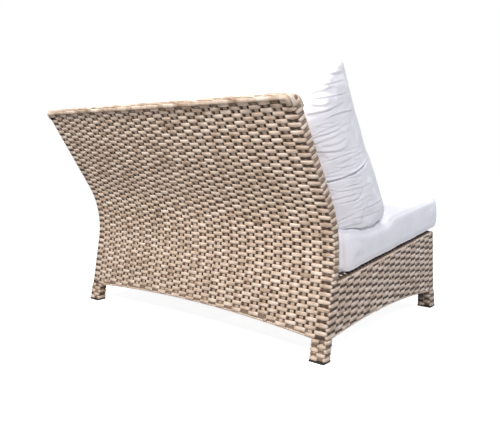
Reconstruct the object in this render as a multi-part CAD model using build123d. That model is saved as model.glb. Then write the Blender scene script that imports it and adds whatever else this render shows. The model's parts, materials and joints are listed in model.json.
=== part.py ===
from build123d import *
import math
import os

# Patio loveseat without arms: a woven resin shell on a welded tube frame, with four loose cushions.
# Lengths are in millimetres and angles in degrees. x runs along the seat, y to the rear, z up.
# The model is laid out with y = 0 at the rear face of the rear feet, and centred over its base at the end.

# Shell
overall_width = 1303.0
back_height = 870.0
foot_spread = 925.0
seat_front_height = 346.0
seat_tilt = 5.9
leg_lean = 10.5
back_lean = 31.0
bend_height = 417.0
bend_radius = 360.0
front_rake = 6.5
back_corner_radius = 26.0
arch_foot_height = 76.0
arch_rise = 27.0

# Weave and frame tubes
weave_thickness = 5.0
leg_width = 60.0
back_tube_depth = 32.0
front_tube_depth = 40.0
seat_tube_size = 25.0
arch_tube_size = 20.0
bar_tube_size = 20.0
stile_width = 25.0
tube_wall = 1.6
bar_count = 3

# Glides under the feet
glide_height = 6.0
glide_plug_height = 22.0
glide_clearance = 0.2

# Seat cushions
seat_cushion_height = 150.0
seat_cushion_overhang = 60.0
seat_cushion_gap = 32.0
seat_cushion_crown = 14.0
seat_cushion_bulge = 24.0
seat_corner_radius = 26.0
seat_end_round = 26.0
least_bow = 1.0

# Back cushions
back_cushion_height = 610.0
back_boxing = 115.0
back_rear_fill = 167.0
back_front_crown = 48.0
back_boxing_bulge = 12.0
back_seam_draw = 8.0
back_cushion_lip = 14.0
back_end_round = 22.0

# What the cushions share
cushion_split = 4.0
cushion_clearance = 0.4
fabric_thickness = 1.2
core_clearance = 0.3
flat_trim = 2.0

# Zips
zip_length = 500.0
zip_channel_width = 24.0
zip_channel_depth = 8.2
zip_end_room = 24.0
zip_tape_thickness = 1.0
zip_chain_width = 5.0
zip_chain_height = 1.2
slider_length = 12.0
slider_width = 9.0
slider_plate = 1.6
slider_lift = 0.3
bridge_length = 6.0
bridge_width = 2.0
bridge_rim = 0.9
pin_radius = 0.8
pin_clearance = 0.3
pin_height = 1.8
tab_length = 20.0
tab_width = 7.0
tab_thickness = 1.2
tab_root = 1.2
tab_slot_clearance = 0.4

# Cut bodies run past what they cut by this much
overrun = 400.0

half_width = overall_width / 2
back_depth = back_tube_depth + 2 * weave_thickness
front_depth = front_tube_depth + 2 * weave_thickness
post_near = weave_thickness
post_far = weave_thickness + back_tube_depth
leg_near = weave_thickness
leg_far = weave_thickness + front_tube_depth
post_outer = half_width - weave_thickness
post_inner = half_width - leg_width + weave_thickness
rail_under = weave_thickness + seat_tube_size


def unit(angle):
    """Direction in the y, z plane that leans back by an angle from straight up."""
    turn = math.radians(angle)
    return (math.sin(turn), math.cos(turn))


def front_normal(angle):
    """Direction in the y, z plane square to unit(angle), pointing to the front."""
    turn = math.radians(angle)
    return (-math.cos(turn), math.sin(turn))


def along(point, direction, distance):
    """Point at a distance from another in the y, z plane."""
    return (point[0] + direction[0] * distance, point[1] + direction[1] * distance)


# Centre of the bend that joins the leg run and the back run of the rear face
half_turn = math.radians((leg_lean + back_lean) / 2)
bend_corner = (-bend_height * math.tan(math.radians(leg_lean)), bend_height)
bend_side = (leg_lean - back_lean) / 2
bend_centre = along(bend_corner, front_normal(-bend_side), -bend_radius / math.cos(half_turn))

# Top front corner of the seat deck, where its slope meets the raked front
front_corner = (
    seat_front_height * math.tan(math.radians(front_rake)) - foot_spread,
    seat_front_height,
)
deck_rearward = (math.cos(math.radians(seat_tilt)), -math.sin(math.radians(seat_tilt)))
deck_up = (math.sin(math.radians(seat_tilt)), math.cos(math.radians(seat_tilt)))


def back_run(depth):
    """Foot end, bend start, bend middle, bend end and top end of a line in from the rear face."""
    reach = bend_radius + depth
    start = along(bend_centre, front_normal(-leg_lean), reach)
    middle = along(bend_centre, front_normal(-bend_side), reach)
    end = along(bend_centre, front_normal(back_lean), reach)
    foot = along(start, unit(-leg_lean), -bend_height - overrun)
    top = along(end, unit(back_lean), back_height + overrun)
    return foot, start, middle, end, top


def across(outline):
    """Solid over the full width from edges drawn in the y, z plane."""
    return extrude(Plane.YZ * make_face(outline), amount=half_width, both=True)


def polygon(points):
    """Closed run of straight edges."""
    return [Line(start, end) for start, end in zip(points, points[1:] + points[:1])]


def back_layer(near, far):
    """Layer of the bent back between two depths in from its rear face."""
    foot, start, middle, end, top = back_run(near)
    far_foot, far_start, far_middle, far_end, far_top = back_run(far)
    outline = [Line(foot, start), ThreePointArc(start, middle, end), Line(end, top)]
    outline += [Line(top, far_top), Line(far_top, far_end)]
    outline += [ThreePointArc(far_end, far_middle, far_start), Line(far_start, far_foot)]
    outline.append(Line(far_foot, foot))
    return across(outline)


def front_layer(near, far):
    """Layer behind the raked front face, between two depths."""
    inward = (math.cos(math.radians(front_rake)), -math.sin(math.radians(front_rake)))
    up = unit(front_rake)
    low = along((-foot_spread, 0), up, -overrun)
    high = along((-foot_spread, 0), up, seat_front_height + overrun)
    points = [along(low, inward, near), along(high, inward, near)]
    points += [along(high, inward, far), along(low, inward, far)]
    return across(polygon(points))


def room(rear_depth, front_inset):
    """Everything between a depth of the back and a depth of the front."""
    foot, start, middle, end, top = back_run(rear_depth)
    inward = (math.cos(math.radians(front_rake)), -math.sin(math.radians(front_rake)))
    sill = along((-foot_spread, 0), inward, front_inset)
    low = along(sill, unit(front_rake), -overrun)
    high = along(sill, unit(front_rake), seat_front_height + overrun)
    outline = [Line(foot, start), ThreePointArc(start, middle, end), Line(end, top)]
    outline += [Line(top, high), Line(high, low), Line(low, foot)]
    return across(outline)


def deck_point(back, up):
    """Point in the y, z plane from the deck's front corner: back along it, and up from it."""
    return along(along(front_corner, deck_rearward, back), deck_up, up)


def seat_layer(near, far):
    """Layer under the top of the seat deck, between two depths."""
    reach = foot_spread + overrun
    points = [deck_point(-overrun, -near), deck_point(reach, -near)]
    points += [deck_point(reach, -far), deck_point(-overrun, -far)]
    return across(polygon(points))


def span(x_low, x_high, z_low=-overrun, z_high=back_height + overrun):
    """Block between two places along x and two heights, deep enough for the whole object."""
    depth = 2 * (foot_spread + overrun)
    middle = Pos((x_low + x_high) / 2, 0, (z_low + z_high) / 2)
    return middle * Box(x_high - x_low, depth, z_high - z_low)


def upright_outline(inset):
    """Rear view of the back with its rounded top corners, drawn in from the edge by an inset."""
    side = half_width - inset
    top = back_height - inset
    face = Plane.XZ * Pos(0, (top - overrun) / 2) * RectangleRounded(
        2 * side, top + overrun, back_corner_radius - inset
    )
    return extrude(face, amount=foot_spread + overrun, both=True)


def cross_arch(lift, half_span):
    """Open space under the arch of the rear or the front, raised by a lift."""
    end = arch_foot_height + lift
    points = [(half_span, end), (half_span, -overrun), (-half_span, -overrun), (-half_span, end)]
    outline = [Line(start, end) for start, end in zip(points, points[1:])]
    outline.append(ThreePointArc(points[-1], (0, end + arch_rise), points[0]))
    return extrude(Plane.XZ * make_face(outline), amount=foot_spread + overrun, both=True)


def side_arch(lift, rear_depth, front_inset):
    """Open space under the arch of a side, between a rear leg and a front leg."""
    end = arch_foot_height + lift
    rear = back_run(rear_depth)[1][0]
    rear -= (end - back_run(rear_depth)[1][1]) * math.tan(math.radians(leg_lean))
    front = end * math.tan(math.radians(front_rake)) - foot_spread
    front += front_inset / math.cos(math.radians(front_rake))
    points = [(front, end), (front, -overrun), (rear, -overrun), (rear, end)]
    outline = [Line(start, end) for start, end in zip(points, points[1:])]
    outline.append(ThreePointArc(points[-1], ((front + rear) / 2, end + arch_rise), points[0]))
    return across(outline)


def side_of(side, x_low, x_high):
    """Range along x on one side: -1 is the left, 1 the right."""
    return sorted((side * x_low, side * x_high))


# Frame tubes

def rear_post(side):
    """Rear leg and upright bent from one tube, its top corner cut to the rounded shell."""
    low, high = side_of(side, post_inner, post_outer)
    bottom = span(low, high, z_low=glide_height)
    outer = back_layer(post_near, post_far) & bottom & upright_outline(weave_thickness)
    bore = back_layer(post_near + tube_wall, post_far - tube_wall)
    bore &= span(low + tube_wall, high - tube_wall)
    bore &= upright_outline(weave_thickness + tube_wall)
    return outer - bore


def top_rail():
    """Tube between the posts along the top of the back."""
    high = back_height - weave_thickness
    low = high - seat_tube_size
    outer = back_layer(post_near, post_far) & span(-post_inner, post_inner, low, high)
    bore = back_layer(post_near + tube_wall, post_far - tube_wall)
    bore &= span(-post_inner, post_inner, low + tube_wall, high - tube_wall)
    return outer - bore


def centre_stile():
    """Upright in the middle of the back, from the rear arch tube to the top rail."""
    top = back_height - weave_thickness - seat_tube_size
    half = stile_width / 2
    outer = back_layer(post_near, post_far) & span(-half, half, z_high=top)
    bore = back_layer(post_near + tube_wall, post_far - tube_wall)
    bore &= span(tube_wall - half, half - tube_wall)
    return outer - bore - cross_arch(weave_thickness + arch_tube_size, post_inner)


def arch_rail_across(layer):
    """Arched tube between two legs, given the layer that it lies in."""
    low = weave_thickness
    high = weave_thickness + arch_tube_size
    near = weave_thickness
    far = weave_thickness + arch_tube_size
    reach = span(-post_inner, post_inner)
    outer = layer(near, far) & reach & cross_arch(high, post_inner) - cross_arch(low, post_inner)
    bore = layer(near + tube_wall, far - tube_wall) & reach
    bore &= cross_arch(high - tube_wall, post_inner) - cross_arch(low + tube_wall, post_inner)
    return outer - bore


def arch_rail_side(side):
    """Arched tube between the rear and the front leg of one side."""
    low, high = side_of(side, post_outer - arch_tube_size, post_outer)
    under = weave_thickness
    over = weave_thickness + arch_tube_size
    band = side_arch(over, post_far, leg_far) - side_arch(under, post_far, leg_far)
    bore = side_arch(over - tube_wall, post_far, leg_far)
    bore -= side_arch(under + tube_wall, post_far, leg_far)
    tube = band & span(low, high)
    tube -= bore & span(low + tube_wall, high - tube_wall)
    return tube & room(post_far, leg_far)


def seat_tube(x_low, x_high, depth, near_cut, far_cut):
    """Straight tube under the deck, cut by what it meets at the rear and the front."""
    outer = seat_layer(weave_thickness, weave_thickness + depth) & span(x_low, x_high)
    bore = seat_layer(weave_thickness + tube_wall, weave_thickness + depth - tube_wall)
    bore &= span(x_low + tube_wall, x_high - tube_wall)
    return (outer - bore) & room(near_cut, far_cut)


def seat_rail_side(side):
    """Seat rail from the rear post to the front leg."""
    low, high = side_of(side, post_outer - seat_tube_size, post_outer)
    return seat_tube(low, high, seat_tube_size, post_far, leg_far)


def seat_rail_across(layer, near, half_span):
    """Seat rail along x, with one face in the given layer."""
    far = near + seat_tube_size
    reach = span(-half_span, half_span)
    outer = layer(near, far) & seat_layer(weave_thickness, rail_under) & reach
    bore = layer(near + tube_wall, far - tube_wall)
    bore &= seat_layer(weave_thickness + tube_wall, rail_under - tube_wall) & reach
    return outer - bore


def seat_bar(index):
    """Bar under the deck, from the rear rail to the front rail."""
    pitch = 2 * half_width / (bar_count + 1)
    middle = (index + 1) * pitch - half_width
    half = bar_tube_size / 2
    rear_cut = post_far + seat_tube_size
    front_cut = leg_near + seat_tube_size
    return seat_tube(middle - half, middle + half, bar_tube_size, rear_cut, front_cut)


def front_leg(side):
    """Raked front leg, from the glide to the deck."""
    low, high = side_of(side, post_inner, post_outer)
    outer = front_layer(leg_near, leg_far) & span(low, high, z_low=glide_height)
    bore = front_layer(leg_near + tube_wall, leg_far - tube_wall)
    bore &= span(low + tube_wall, high - tube_wall)
    bore -= seat_layer(-overrun, weave_thickness + tube_wall)
    return outer - bore - seat_layer(-overrun, weave_thickness)


# Woven skins

def back_outer_weave():
    """Rear panel of the shell, from the arch to the top, over the full width."""
    sheet = back_layer(0, weave_thickness) & upright_outline(0)
    sheet -= cross_arch(0, half_width - leg_width)
    return sheet & span(-half_width, half_width, z_low=arch_foot_height)


def back_inner_weave():
    """Front face of the back, standing on the rear end of the deck."""
    sheet = back_layer(post_far, back_depth) & upright_outline(0)
    return sheet - seat_layer(0, foot_spread)


def edge_band():
    """Band round the edge of the back, between its two panels."""
    band = upright_outline(0) - upright_outline(weave_thickness)
    return band & back_layer(post_near, post_far)


def back_end_weave(side):
    """Woven end of the back, from the top of the leg wrap to the rounded corner."""
    low, high = side_of(side, half_width - back_corner_radius, half_width)
    return edge_band() & span(low, high, arch_foot_height, back_height)


def back_top_weave():
    """Woven top edge of the back, between the rounded corners."""
    reach = half_width - back_corner_radius
    return edge_band() & span(-reach, reach, z_low=back_height - back_corner_radius)


def side_weave(side):
    """Woven side apron from the end of the back to the front panel."""
    low, high = side_of(side, half_width - weave_thickness, half_width)
    sheet = span(low, high, arch_foot_height, seat_front_height) & room(post_far, weave_thickness)
    sheet -= side_arch(0, back_depth, front_depth)
    return sheet - seat_layer(-overrun, weave_thickness)


def front_weave():
    """Woven front apron over the full width."""
    sheet = front_layer(0, weave_thickness) & span(-half_width, half_width, z_low=arch_foot_height)
    sheet -= cross_arch(0, half_width - leg_width)
    return sheet - seat_layer(-overrun, weave_thickness)


def seat_deck_weave():
    """Woven deck that the seat cushions lie on."""
    return seat_layer(0, weave_thickness) & room(post_far, 0)


def leg_section(side, grow, rear):
    """Full height bar of a leg's section, grown or shrunk from the tube's outside."""
    low, high = side_of(side, post_inner, post_outer)
    if rear:
        layer = back_layer(post_near - grow, post_far + grow)
    else:
        layer = front_layer(leg_near - grow, leg_far + grow)
    return layer & span(low - grow, high + grow)


def leg_wrap(side, rear):
    """Woven sleeve on the foot of a leg, below the aprons."""
    sleeve = leg_section(side, weave_thickness, rear) - leg_section(side, 0, rear)
    return sleeve & span(-half_width, half_width, glide_height, arch_foot_height)


def glide(side, rear):
    """Plastic glide: a cap under the leg and a plug up its tube."""
    cap = leg_section(side, weave_thickness, rear)
    cap &= span(-half_width, half_width, 0, glide_height)
    plug = leg_section(side, -tube_wall - glide_clearance, rear)
    plug &= span(-half_width, half_width, glide_height, glide_height + glide_plug_height)
    return cap + plug


# Cushions

cushion_half = (half_width - cushion_split / 2) / 2
cushion_middle = half_width - cushion_half
waist = bend_centre[0] - bend_radius - back_depth
seat_back = (waist - seat_cushion_gap - front_corner[0]) / math.cos(math.radians(seat_tilt))
seat_top = cushion_clearance + seat_cushion_height
crown_start_share = 0.45
flat_end = seat_back - (seat_back + seat_cushion_overhang) * crown_start_share

# The rear of a seat cushion's top rises to the front as one flat ramp, pressed by the back cushion
ramp_start = deck_point(seat_back - seat_corner_radius, seat_top)
ramp_rise = math.atan2(seat_cushion_crown, seat_back - seat_corner_radius - flat_end)
ramp_tilt = seat_tilt + math.degrees(ramp_rise)

# Stations along a cushion: place as a share of its half length, end rounding left, and crown reached
seat_station_shares = ((1.0, 1.0, 0.0), (0.97, 0.25, 0.1), (0.88, 0.0, 0.5), (0.55, 0.0, 1.0))
back_station_shares = ((1.0, 1.0, 0.06), (0.97, 0.2, 0.4), (0.86, 0.0, 0.8), (0.6, 0.0, 1.0))
core_half_share = 0.86
core_crown_share = 0.4
core_fill_share = 0.78
core_round_share = 0.2
corner_bow_share = math.sqrt(2) - 1
fill_low_share = 0.24
fill_high_share = 0.76
fill_curve_share = 0.26


def mirrored(stations):
    """The stations of one half, and the same ones on the other half."""
    other_half = [(-place, rounding, crown) for place, rounding, crown in stations]
    return other_half + list(reversed(stations))


def corner(before, around, after):
    """Rounded corner of an outline: a quarter circle from one point to another about a corner."""
    middle = ((before[0] + after[0]) / 2, (before[1] + after[1]) / 2)
    outward = (around[0] - middle[0], around[1] - middle[1])
    return ThreePointArc(before, along(middle, outward, corner_bow_share), after)


def seat_section(x, rounding, crown, inset):
    """Face of a seat cushion at one place along x."""
    draw = seat_end_round * rounding + inset
    low = -flat_trim + draw
    high = seat_top - draw
    front = -seat_cushion_overhang + draw
    rear = seat_back + flat_trim - draw
    radius = seat_corner_radius
    lift = seat_cushion_crown * crown
    crest = ((flat_end + front) / 2, high + least_bow + lift)
    nose = (front - least_bow - seat_cushion_bulge * crown, (low + high) / 2)
    marks = [
        (front + radius, low), (rear - radius, low), (rear, low + radius), (rear, high - radius),
        (rear - radius, high), (flat_end, high + lift), (front + radius, high),
        (front, high - radius), (front, low + radius),
    ]
    spots = [deck_point(*mark) for mark in marks]
    edges = [
        Line(spots[0], spots[1]),
        corner(spots[1], deck_point(rear, low), spots[2]),
        Line(spots[2], spots[3]),
        corner(spots[3], deck_point(rear, high), spots[4]),
        Line(spots[4], spots[5]),
        ThreePointArc(spots[5], deck_point(*crest), spots[6]),
        corner(spots[6], deck_point(front, high), spots[7]),
        ThreePointArc(spots[7], deck_point(*nose), spots[8]),
        corner(spots[8], deck_point(front, low), spots[0]),
    ]
    return Plane.YZ.offset(x) * make_face(edges)


def deck_block(x_low, x_high, back_low, back_high, up_low, up_high):
    """Block squared to the deck: ranges along x, back along the deck and up from it."""
    marks = [(back_low, up_low), (back_high, up_low), (back_high, up_high), (back_low, up_high)]
    face = make_face(polygon([deck_point(*mark) for mark in marks]))
    return extrude(Plane.YZ.offset(x_low) * face, amount=x_high - x_low)


def ramp_point(forward, up):
    """Point in the y, z plane from the ramp's rear end: forward along the ramp and up from it."""
    return along(along(ramp_start, front_normal(ramp_tilt), forward), unit(ramp_tilt), up)


def ramp_block(x_low, x_high, forward_low, forward_high, up_low, up_high):
    """Block squared to the ramp: ranges along x, forward along it and up from it."""
    marks = [(forward_low, up_low), (forward_high, up_low)]
    marks += [(forward_high, up_high), (forward_low, up_high)]
    face = make_face(polygon([ramp_point(*mark) for mark in marks]))
    return extrude(Plane.YZ.offset(x_low) * face, amount=x_high - x_low)


def zip_span(side, grow):
    """Range along x of a cushion's zip channel."""
    middle = side * cushion_middle
    half = zip_length / 2 + grow
    return middle - half, middle + half


def seat_form(side, inset):
    """Seat cushion: crowned at the front, flat below, behind and under the back cushion."""
    middle = side * cushion_middle
    sections = []
    for place, rounding, crown in mirrored(seat_station_shares):
        spot = middle + place * (cushion_half - inset)
        sections.append(seat_section(spot, rounding, crown, inset))
    form = loft(sections, ruled=True)
    wide = (middle - half_width, middle + half_width)
    form -= deck_block(*wide, -overrun, seat_back + overrun, -overrun, cushion_clearance + inset)
    form -= deck_block(*wide, seat_back - inset, seat_back + overrun, -overrun, overrun)
    mid = seat_top / 2
    half = zip_channel_width / 2 + inset
    channel = (seat_back - zip_channel_depth - inset, seat_back + overrun, mid - half, mid + half)
    return form - deck_block(*zip_span(side, zip_end_room + inset), *channel)


# Where the straight run of the back's front face meets the top of the seat cushions
face_end = back_run(back_depth)[3]
face_gap = along(face_end, front_normal(back_lean), cushion_clearance)
rest_angle = math.radians(back_lean - ramp_tilt)
rest = ramp_point(0, cushion_clearance)
rise = (rest[0] - face_gap[0]) * math.sin(math.radians(ramp_tilt))
rise += (rest[1] - face_gap[1]) * math.cos(math.radians(ramp_tilt))
meeting = along(face_gap, unit(back_lean), rise / math.cos(rest_angle))
boxing_rear = back_rear_fill
boxing_front = back_rear_fill + back_boxing


def back_point(out, up):
    """Point in the y, z plane from the meeting point: out from the back's face, and up along it."""
    return along(along(meeting, front_normal(back_lean), out), unit(back_lean), up)


back_low = back_cushion_lip - boxing_front * math.tan(rest_angle)
back_high = back_low + back_cushion_height


def back_section(x, rounding, fill, inset):
    """Face of a back cushion at one place along x."""
    draw = back_end_round * rounding + inset
    low = back_low + draw
    high = back_high - draw - back_seam_draw * fill
    seam_rear = boxing_rear + draw / 2
    seam_front = boxing_front - draw / 2
    rear = seam_rear - (boxing_rear + flat_trim - inset) * fill
    tall = high - low
    shoulder = fill_curve_share * (seam_rear - rear)
    marks = {
        "bottom_rear": (seam_rear, low),
        "heel": (rear + shoulder, low + tall * fill_low_share / 2 - shoulder / 2),
        "rear_low": (rear, low + tall * fill_low_share),
        "rear_high": (rear, low + tall * fill_high_share),
        "shoulder": (rear + shoulder, high - tall * (1 - fill_high_share) / 2 + shoulder / 2),
        "top_rear": (seam_rear, high),
        "top_crest": ((seam_rear + seam_front) / 2, high + back_boxing_bulge),
        "top_front": (seam_front, high),
        "front_crest": (seam_front + back_front_crown * fill, (low + high) / 2),
        "bottom_front": (seam_front, low),
        "bottom_crest": ((seam_rear + seam_front) / 2, low - back_boxing_bulge),
    }
    spots = {name: back_point(*mark) for name, mark in marks.items()}
    edges = [
        ThreePointArc(spots["bottom_rear"], spots["heel"], spots["rear_low"]),
        Line(spots["rear_low"], spots["rear_high"]),
        ThreePointArc(spots["rear_high"], spots["shoulder"], spots["top_rear"]),
        ThreePointArc(spots["top_rear"], spots["top_crest"], spots["top_front"]),
        ThreePointArc(spots["top_front"], spots["front_crest"], spots["bottom_front"]),
        ThreePointArc(spots["bottom_front"], spots["bottom_crest"], spots["bottom_rear"]),
    ]
    return Plane.YZ.offset(x) * make_face(edges)


def back_block(x_low, x_high, out_low, out_high, up_low, up_high):
    """Block squared to the leaning back: ranges along x, out from its face and up along it."""
    marks = [(out_low, up_low), (out_high, up_low), (out_high, up_high), (out_low, up_high)]
    face = make_face(polygon([back_point(*mark) for mark in marks]))
    return extrude(Plane.YZ.offset(x_low) * face, amount=x_high - x_low)


# Place of a back cushion's zip, forward along the ramp
zip_drop = ramp_start[0] - back_point(boxing_rear, back_low)[0]
back_zip_place = zip_drop / math.cos(math.radians(ramp_tilt))


def back_form(side, inset):
    """Back cushion: a full pillow, flat where it leans on the back and stands on the seat."""
    middle = side * cushion_middle
    sections = []
    for place, rounding, fill in mirrored(back_station_shares):
        spot = middle + place * (cushion_half - inset)
        sections.append(back_section(spot, rounding, fill, inset))
    form = loft(sections, ruled=True)
    wide = (middle - half_width, middle + half_width)
    form -= back_block(*wide, -overrun, inset, -overrun, back_high + overrun)
    under = cushion_clearance + inset
    form -= ramp_block(*wide, -overrun, seat_back + overrun, -overrun, under)
    half = zip_channel_width / 2 + inset
    channel = (back_zip_place - half, back_zip_place + half, 0, under + zip_channel_depth)
    return form - ramp_block(*zip_span(side, zip_end_room + inset), *channel)


def cover(form, side):
    """Sewn fabric cover of a cushion."""
    return form(side, 0) - form(side, fabric_thickness)


def seat_core(side):
    """Foam block of a seat cushion, cut to one section."""
    half = core_half_share * cushion_half
    inset = fabric_thickness + core_clearance
    start = side * cushion_middle - half
    block = extrude(seat_section(start, 0, core_crown_share, inset), amount=2 * half)
    lift = cushion_clearance + inset
    wide = (start, start + 2 * half)
    half_channel = zip_channel_width / 2 + inset
    low = seat_back - zip_channel_depth - inset
    block &= deck_block(*wide, -overrun, seat_back - inset, lift, overrun)
    channel = (low, seat_back + overrun, seat_top / 2 - half_channel, seat_top / 2 + half_channel)
    return block - deck_block(*wide, *channel)


def back_core(side):
    """Fibre filling of a back cushion, in its own bag of one section."""
    half = core_half_share * cushion_half
    inset = fabric_thickness + core_clearance
    start = side * cushion_middle - half
    bag = extrude(back_section(start, core_round_share, core_fill_share, inset), amount=2 * half)
    wide = (start, start + 2 * half)
    under = cushion_clearance + inset
    bag -= ramp_block(*wide, -overrun, seat_back + overrun, -overrun, under)
    half_channel = zip_channel_width / 2 + inset
    channel = (back_zip_place - half_channel, back_zip_place + half_channel)
    return bag - ramp_block(*wide, *channel, 0, under + zip_channel_depth)


# Zips, drawn flat: x along the zip, y across it, z out of the channel from its floor

def zip_frame(form, side):
    """Plane at the middle of the channel floor of a cushion."""
    x = side * cushion_middle
    if form is seat_form:
        y, z = deck_point(seat_back - zip_channel_depth, seat_top / 2)
        return Plane((x, y, z), x_dir=(1, 0, 0), z_dir=(0, *deck_rearward))
    y, z = ramp_point(back_zip_place, cushion_clearance + zip_channel_depth)
    tilt = math.radians(ramp_tilt)
    return Plane((x, y, z), x_dir=(1, 0, 0), z_dir=(0, -math.sin(tilt), -math.cos(tilt)))


chain_top = zip_tape_thickness + zip_chain_height
slider_bottom = chain_top + slider_lift
slider_top = slider_bottom + slider_plate
pin_axis = slider_top + pin_height
slider_start = slider_length / 2 - zip_length / 2


def zip_tape():
    """Zip tape with its closed row of teeth."""
    tape = Pos(0, 0, zip_tape_thickness / 2) * Box(zip_length, zip_channel_width, zip_tape_thickness)
    lift = zip_tape_thickness + zip_chain_height / 2
    return tape + Pos(0, 0, lift) * Box(zip_length, zip_chain_width, zip_chain_height)


def zip_slider():
    """Slider plate with a bridge that holds the tab's pin."""
    plate = Pos(0, 0, (slider_bottom + slider_top) / 2) * Box(slider_length, slider_width, slider_plate)
    height = pin_height + pin_radius + pin_clearance + bridge_rim
    bridge = Pos(0, 0, slider_top + height / 2) * Box(bridge_length, bridge_width, height)
    eye = Pos(0, 0, pin_axis) * Rot(X=90) * Cylinder(pin_radius + pin_clearance, 2 * bridge_width)
    return Pos(slider_start, 0, 0) * (plate + bridge - eye)


def zip_tab():
    """Pull tab, forked round the bridge, with its pin across the fork."""
    long = tab_length + tab_root
    plate = Pos((tab_length - tab_root) / 2, 0, 0) * Box(long, tab_width, tab_thickness)
    bridge_corner = math.hypot(bridge_length / 2, pin_radius + pin_clearance + bridge_rim)
    slot_reach = bridge_corner + tab_slot_clearance
    slot_long = slot_reach + tab_root
    slot_wide = bridge_width + 2 * tab_slot_clearance
    slot = Pos((slot_reach - tab_root) / 2, 0, 0) * Box(slot_long, slot_wide, 2 * tab_thickness)
    pin = Rot(X=90) * Cylinder(pin_radius, tab_width)
    return Pos(slider_start, 0, pin_axis) * (plate - slot + pin)


def build():
    """All nodes by name."""
    nodes = {}
    for name, side in (("left", -1), ("right", 1)):
        nodes["rear_post_" + name] = rear_post(side)
        nodes["front_leg_" + name] = front_leg(side)
        nodes["seat_rail_" + name] = seat_rail_side(side)
        nodes["arch_rail_" + name] = arch_rail_side(side)
        nodes["back_end_weave_" + name] = back_end_weave(side)
        nodes["side_weave_" + name] = side_weave(side)
        for place, rear in (("rear", True), ("front", False)):
            nodes["leg_wrap_" + place + "_" + name] = leg_wrap(side, rear)
            nodes["glide_" + place + "_" + name] = glide(side, rear)
        nodes["seat_cushion_core_" + name] = seat_core(side)
        nodes["back_cushion_core_" + name] = back_core(side)
        for kind, form in (("seat", seat_form), ("back", back_form)):
            nodes[kind + "_cushion_cover_" + name] = cover(form, side)
            place = zip_frame(form, side)
            nodes[kind + "_zip_tape_" + name] = place * zip_tape()
            nodes[kind + "_zip_slider_" + name] = place * zip_slider()
            nodes[kind + "_zip_tab_" + name] = place * zip_tab()
    nodes["top_rail"] = top_rail()
    nodes["back_stile_center"] = centre_stile()
    nodes["arch_rail_rear"] = arch_rail_across(back_layer)
    nodes["arch_rail_front"] = arch_rail_across(front_layer)
    nodes["seat_rail_rear"] = seat_rail_across(back_layer, post_far, post_outer - seat_tube_size)
    nodes["seat_rail_front"] = seat_rail_across(front_layer, leg_near, post_inner)
    for index, name in enumerate(("left", "center", "right")):
        nodes["seat_bar_" + name] = seat_bar(index)
    nodes["back_outer_weave"] = back_outer_weave()
    nodes["back_inner_weave"] = back_inner_weave()
    nodes["back_top_weave"] = back_top_weave()
    nodes["front_weave"] = front_weave()
    nodes["seat_deck_weave"] = seat_deck_weave()
    return nodes


nodes = build()
boxes = [shape.bounding_box() for shape in nodes.values()]
front_edge = min(box.min.Y for box in boxes)
rear_edge = max(box.max.Y for box in boxes)
centring = Pos(0, -(front_edge + rear_edge) / 2, 0)
os.makedirs("parts", exist_ok=True)
for node, shape in nodes.items():
    export_step(centring * shape, "parts/" + node + ".step")
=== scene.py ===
import json
import math

import bmesh
import bpy
import numpy as np
from mathutils import Matrix, Vector


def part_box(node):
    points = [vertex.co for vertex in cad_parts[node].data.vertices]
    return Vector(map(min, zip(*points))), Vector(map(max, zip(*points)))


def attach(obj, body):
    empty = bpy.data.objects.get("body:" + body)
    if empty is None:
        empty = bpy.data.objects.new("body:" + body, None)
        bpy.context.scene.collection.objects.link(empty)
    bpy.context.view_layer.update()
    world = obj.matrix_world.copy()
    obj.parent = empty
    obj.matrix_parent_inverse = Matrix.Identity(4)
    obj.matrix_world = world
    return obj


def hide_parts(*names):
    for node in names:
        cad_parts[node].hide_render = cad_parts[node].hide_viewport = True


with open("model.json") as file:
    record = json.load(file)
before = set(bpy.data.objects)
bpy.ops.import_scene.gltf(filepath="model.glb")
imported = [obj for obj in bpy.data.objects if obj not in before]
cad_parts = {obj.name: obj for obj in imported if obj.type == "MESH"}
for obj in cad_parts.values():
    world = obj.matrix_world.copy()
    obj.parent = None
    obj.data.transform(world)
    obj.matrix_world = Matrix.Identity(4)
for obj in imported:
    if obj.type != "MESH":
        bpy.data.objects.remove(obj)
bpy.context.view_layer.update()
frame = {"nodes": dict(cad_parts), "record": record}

# Patio loveseat without arms: resin strands woven over an aluminium tube frame, four loose cushions.
# Metres and degrees. x runs along the seat, y to the rear, z up, as in the frame.

MM = 0.001
SIDES = (("left", -1), ("right", 1))
draw = np.random.RandomState(7)

# Outline of the shell, read from the frame where a box gives it
HALF_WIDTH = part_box("back_outer_weave")[1].x
BACK_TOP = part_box("back_outer_weave")[1].z
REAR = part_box("glide_rear_left")[1].y
SEAT_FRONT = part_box("seat_deck_weave")[1].z
FRONT_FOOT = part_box("glide_front_left")[0].y
GLIDE_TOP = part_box("leg_wrap_rear_left")[0].z
ARCH_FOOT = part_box("leg_wrap_rear_left")[1].z
LEG_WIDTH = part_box("leg_wrap_rear_left")[1].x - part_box("leg_wrap_rear_left")[0].x
LEG_LEAN = 10.5
BACK_LEAN = 31.0
FRONT_RAKE = 6.5
SEAT_TILT = 5.9
BEND_HEIGHT = 417 * MM
BEND_RADIUS = 360 * MM
BACK_DEPTH = 42 * MM
FRONT_DEPTH = 50 * MM
CORNER_RADIUS = 26 * MM
ARCH_RISE = 27 * MM

# Woven strand
ROW_PITCH = 13.1 * MM
BACK_COLUMNS = 31
SIDE_COLUMNS = 18
STRAND_OVER = 14.8 * MM
STRAND_UNDER = 14.4 * MM
STRAND_FLAT = 11.9 * MM
STRAND_THICK = 8.0 * MM
STRAND_WAVE = 4.0 * MM
RIB_WIDTH = 17.5 * MM
RIB_THICK = 2.8 * MM
RIB_LIFT = 1.2 * MM
RIB_WAVE = 0.5 * MM
# Painted shade on the ribs, which lie below the bumps of the strands
RIB_SHADE = 0.15
POST_BEND = 4 * MM
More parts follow.
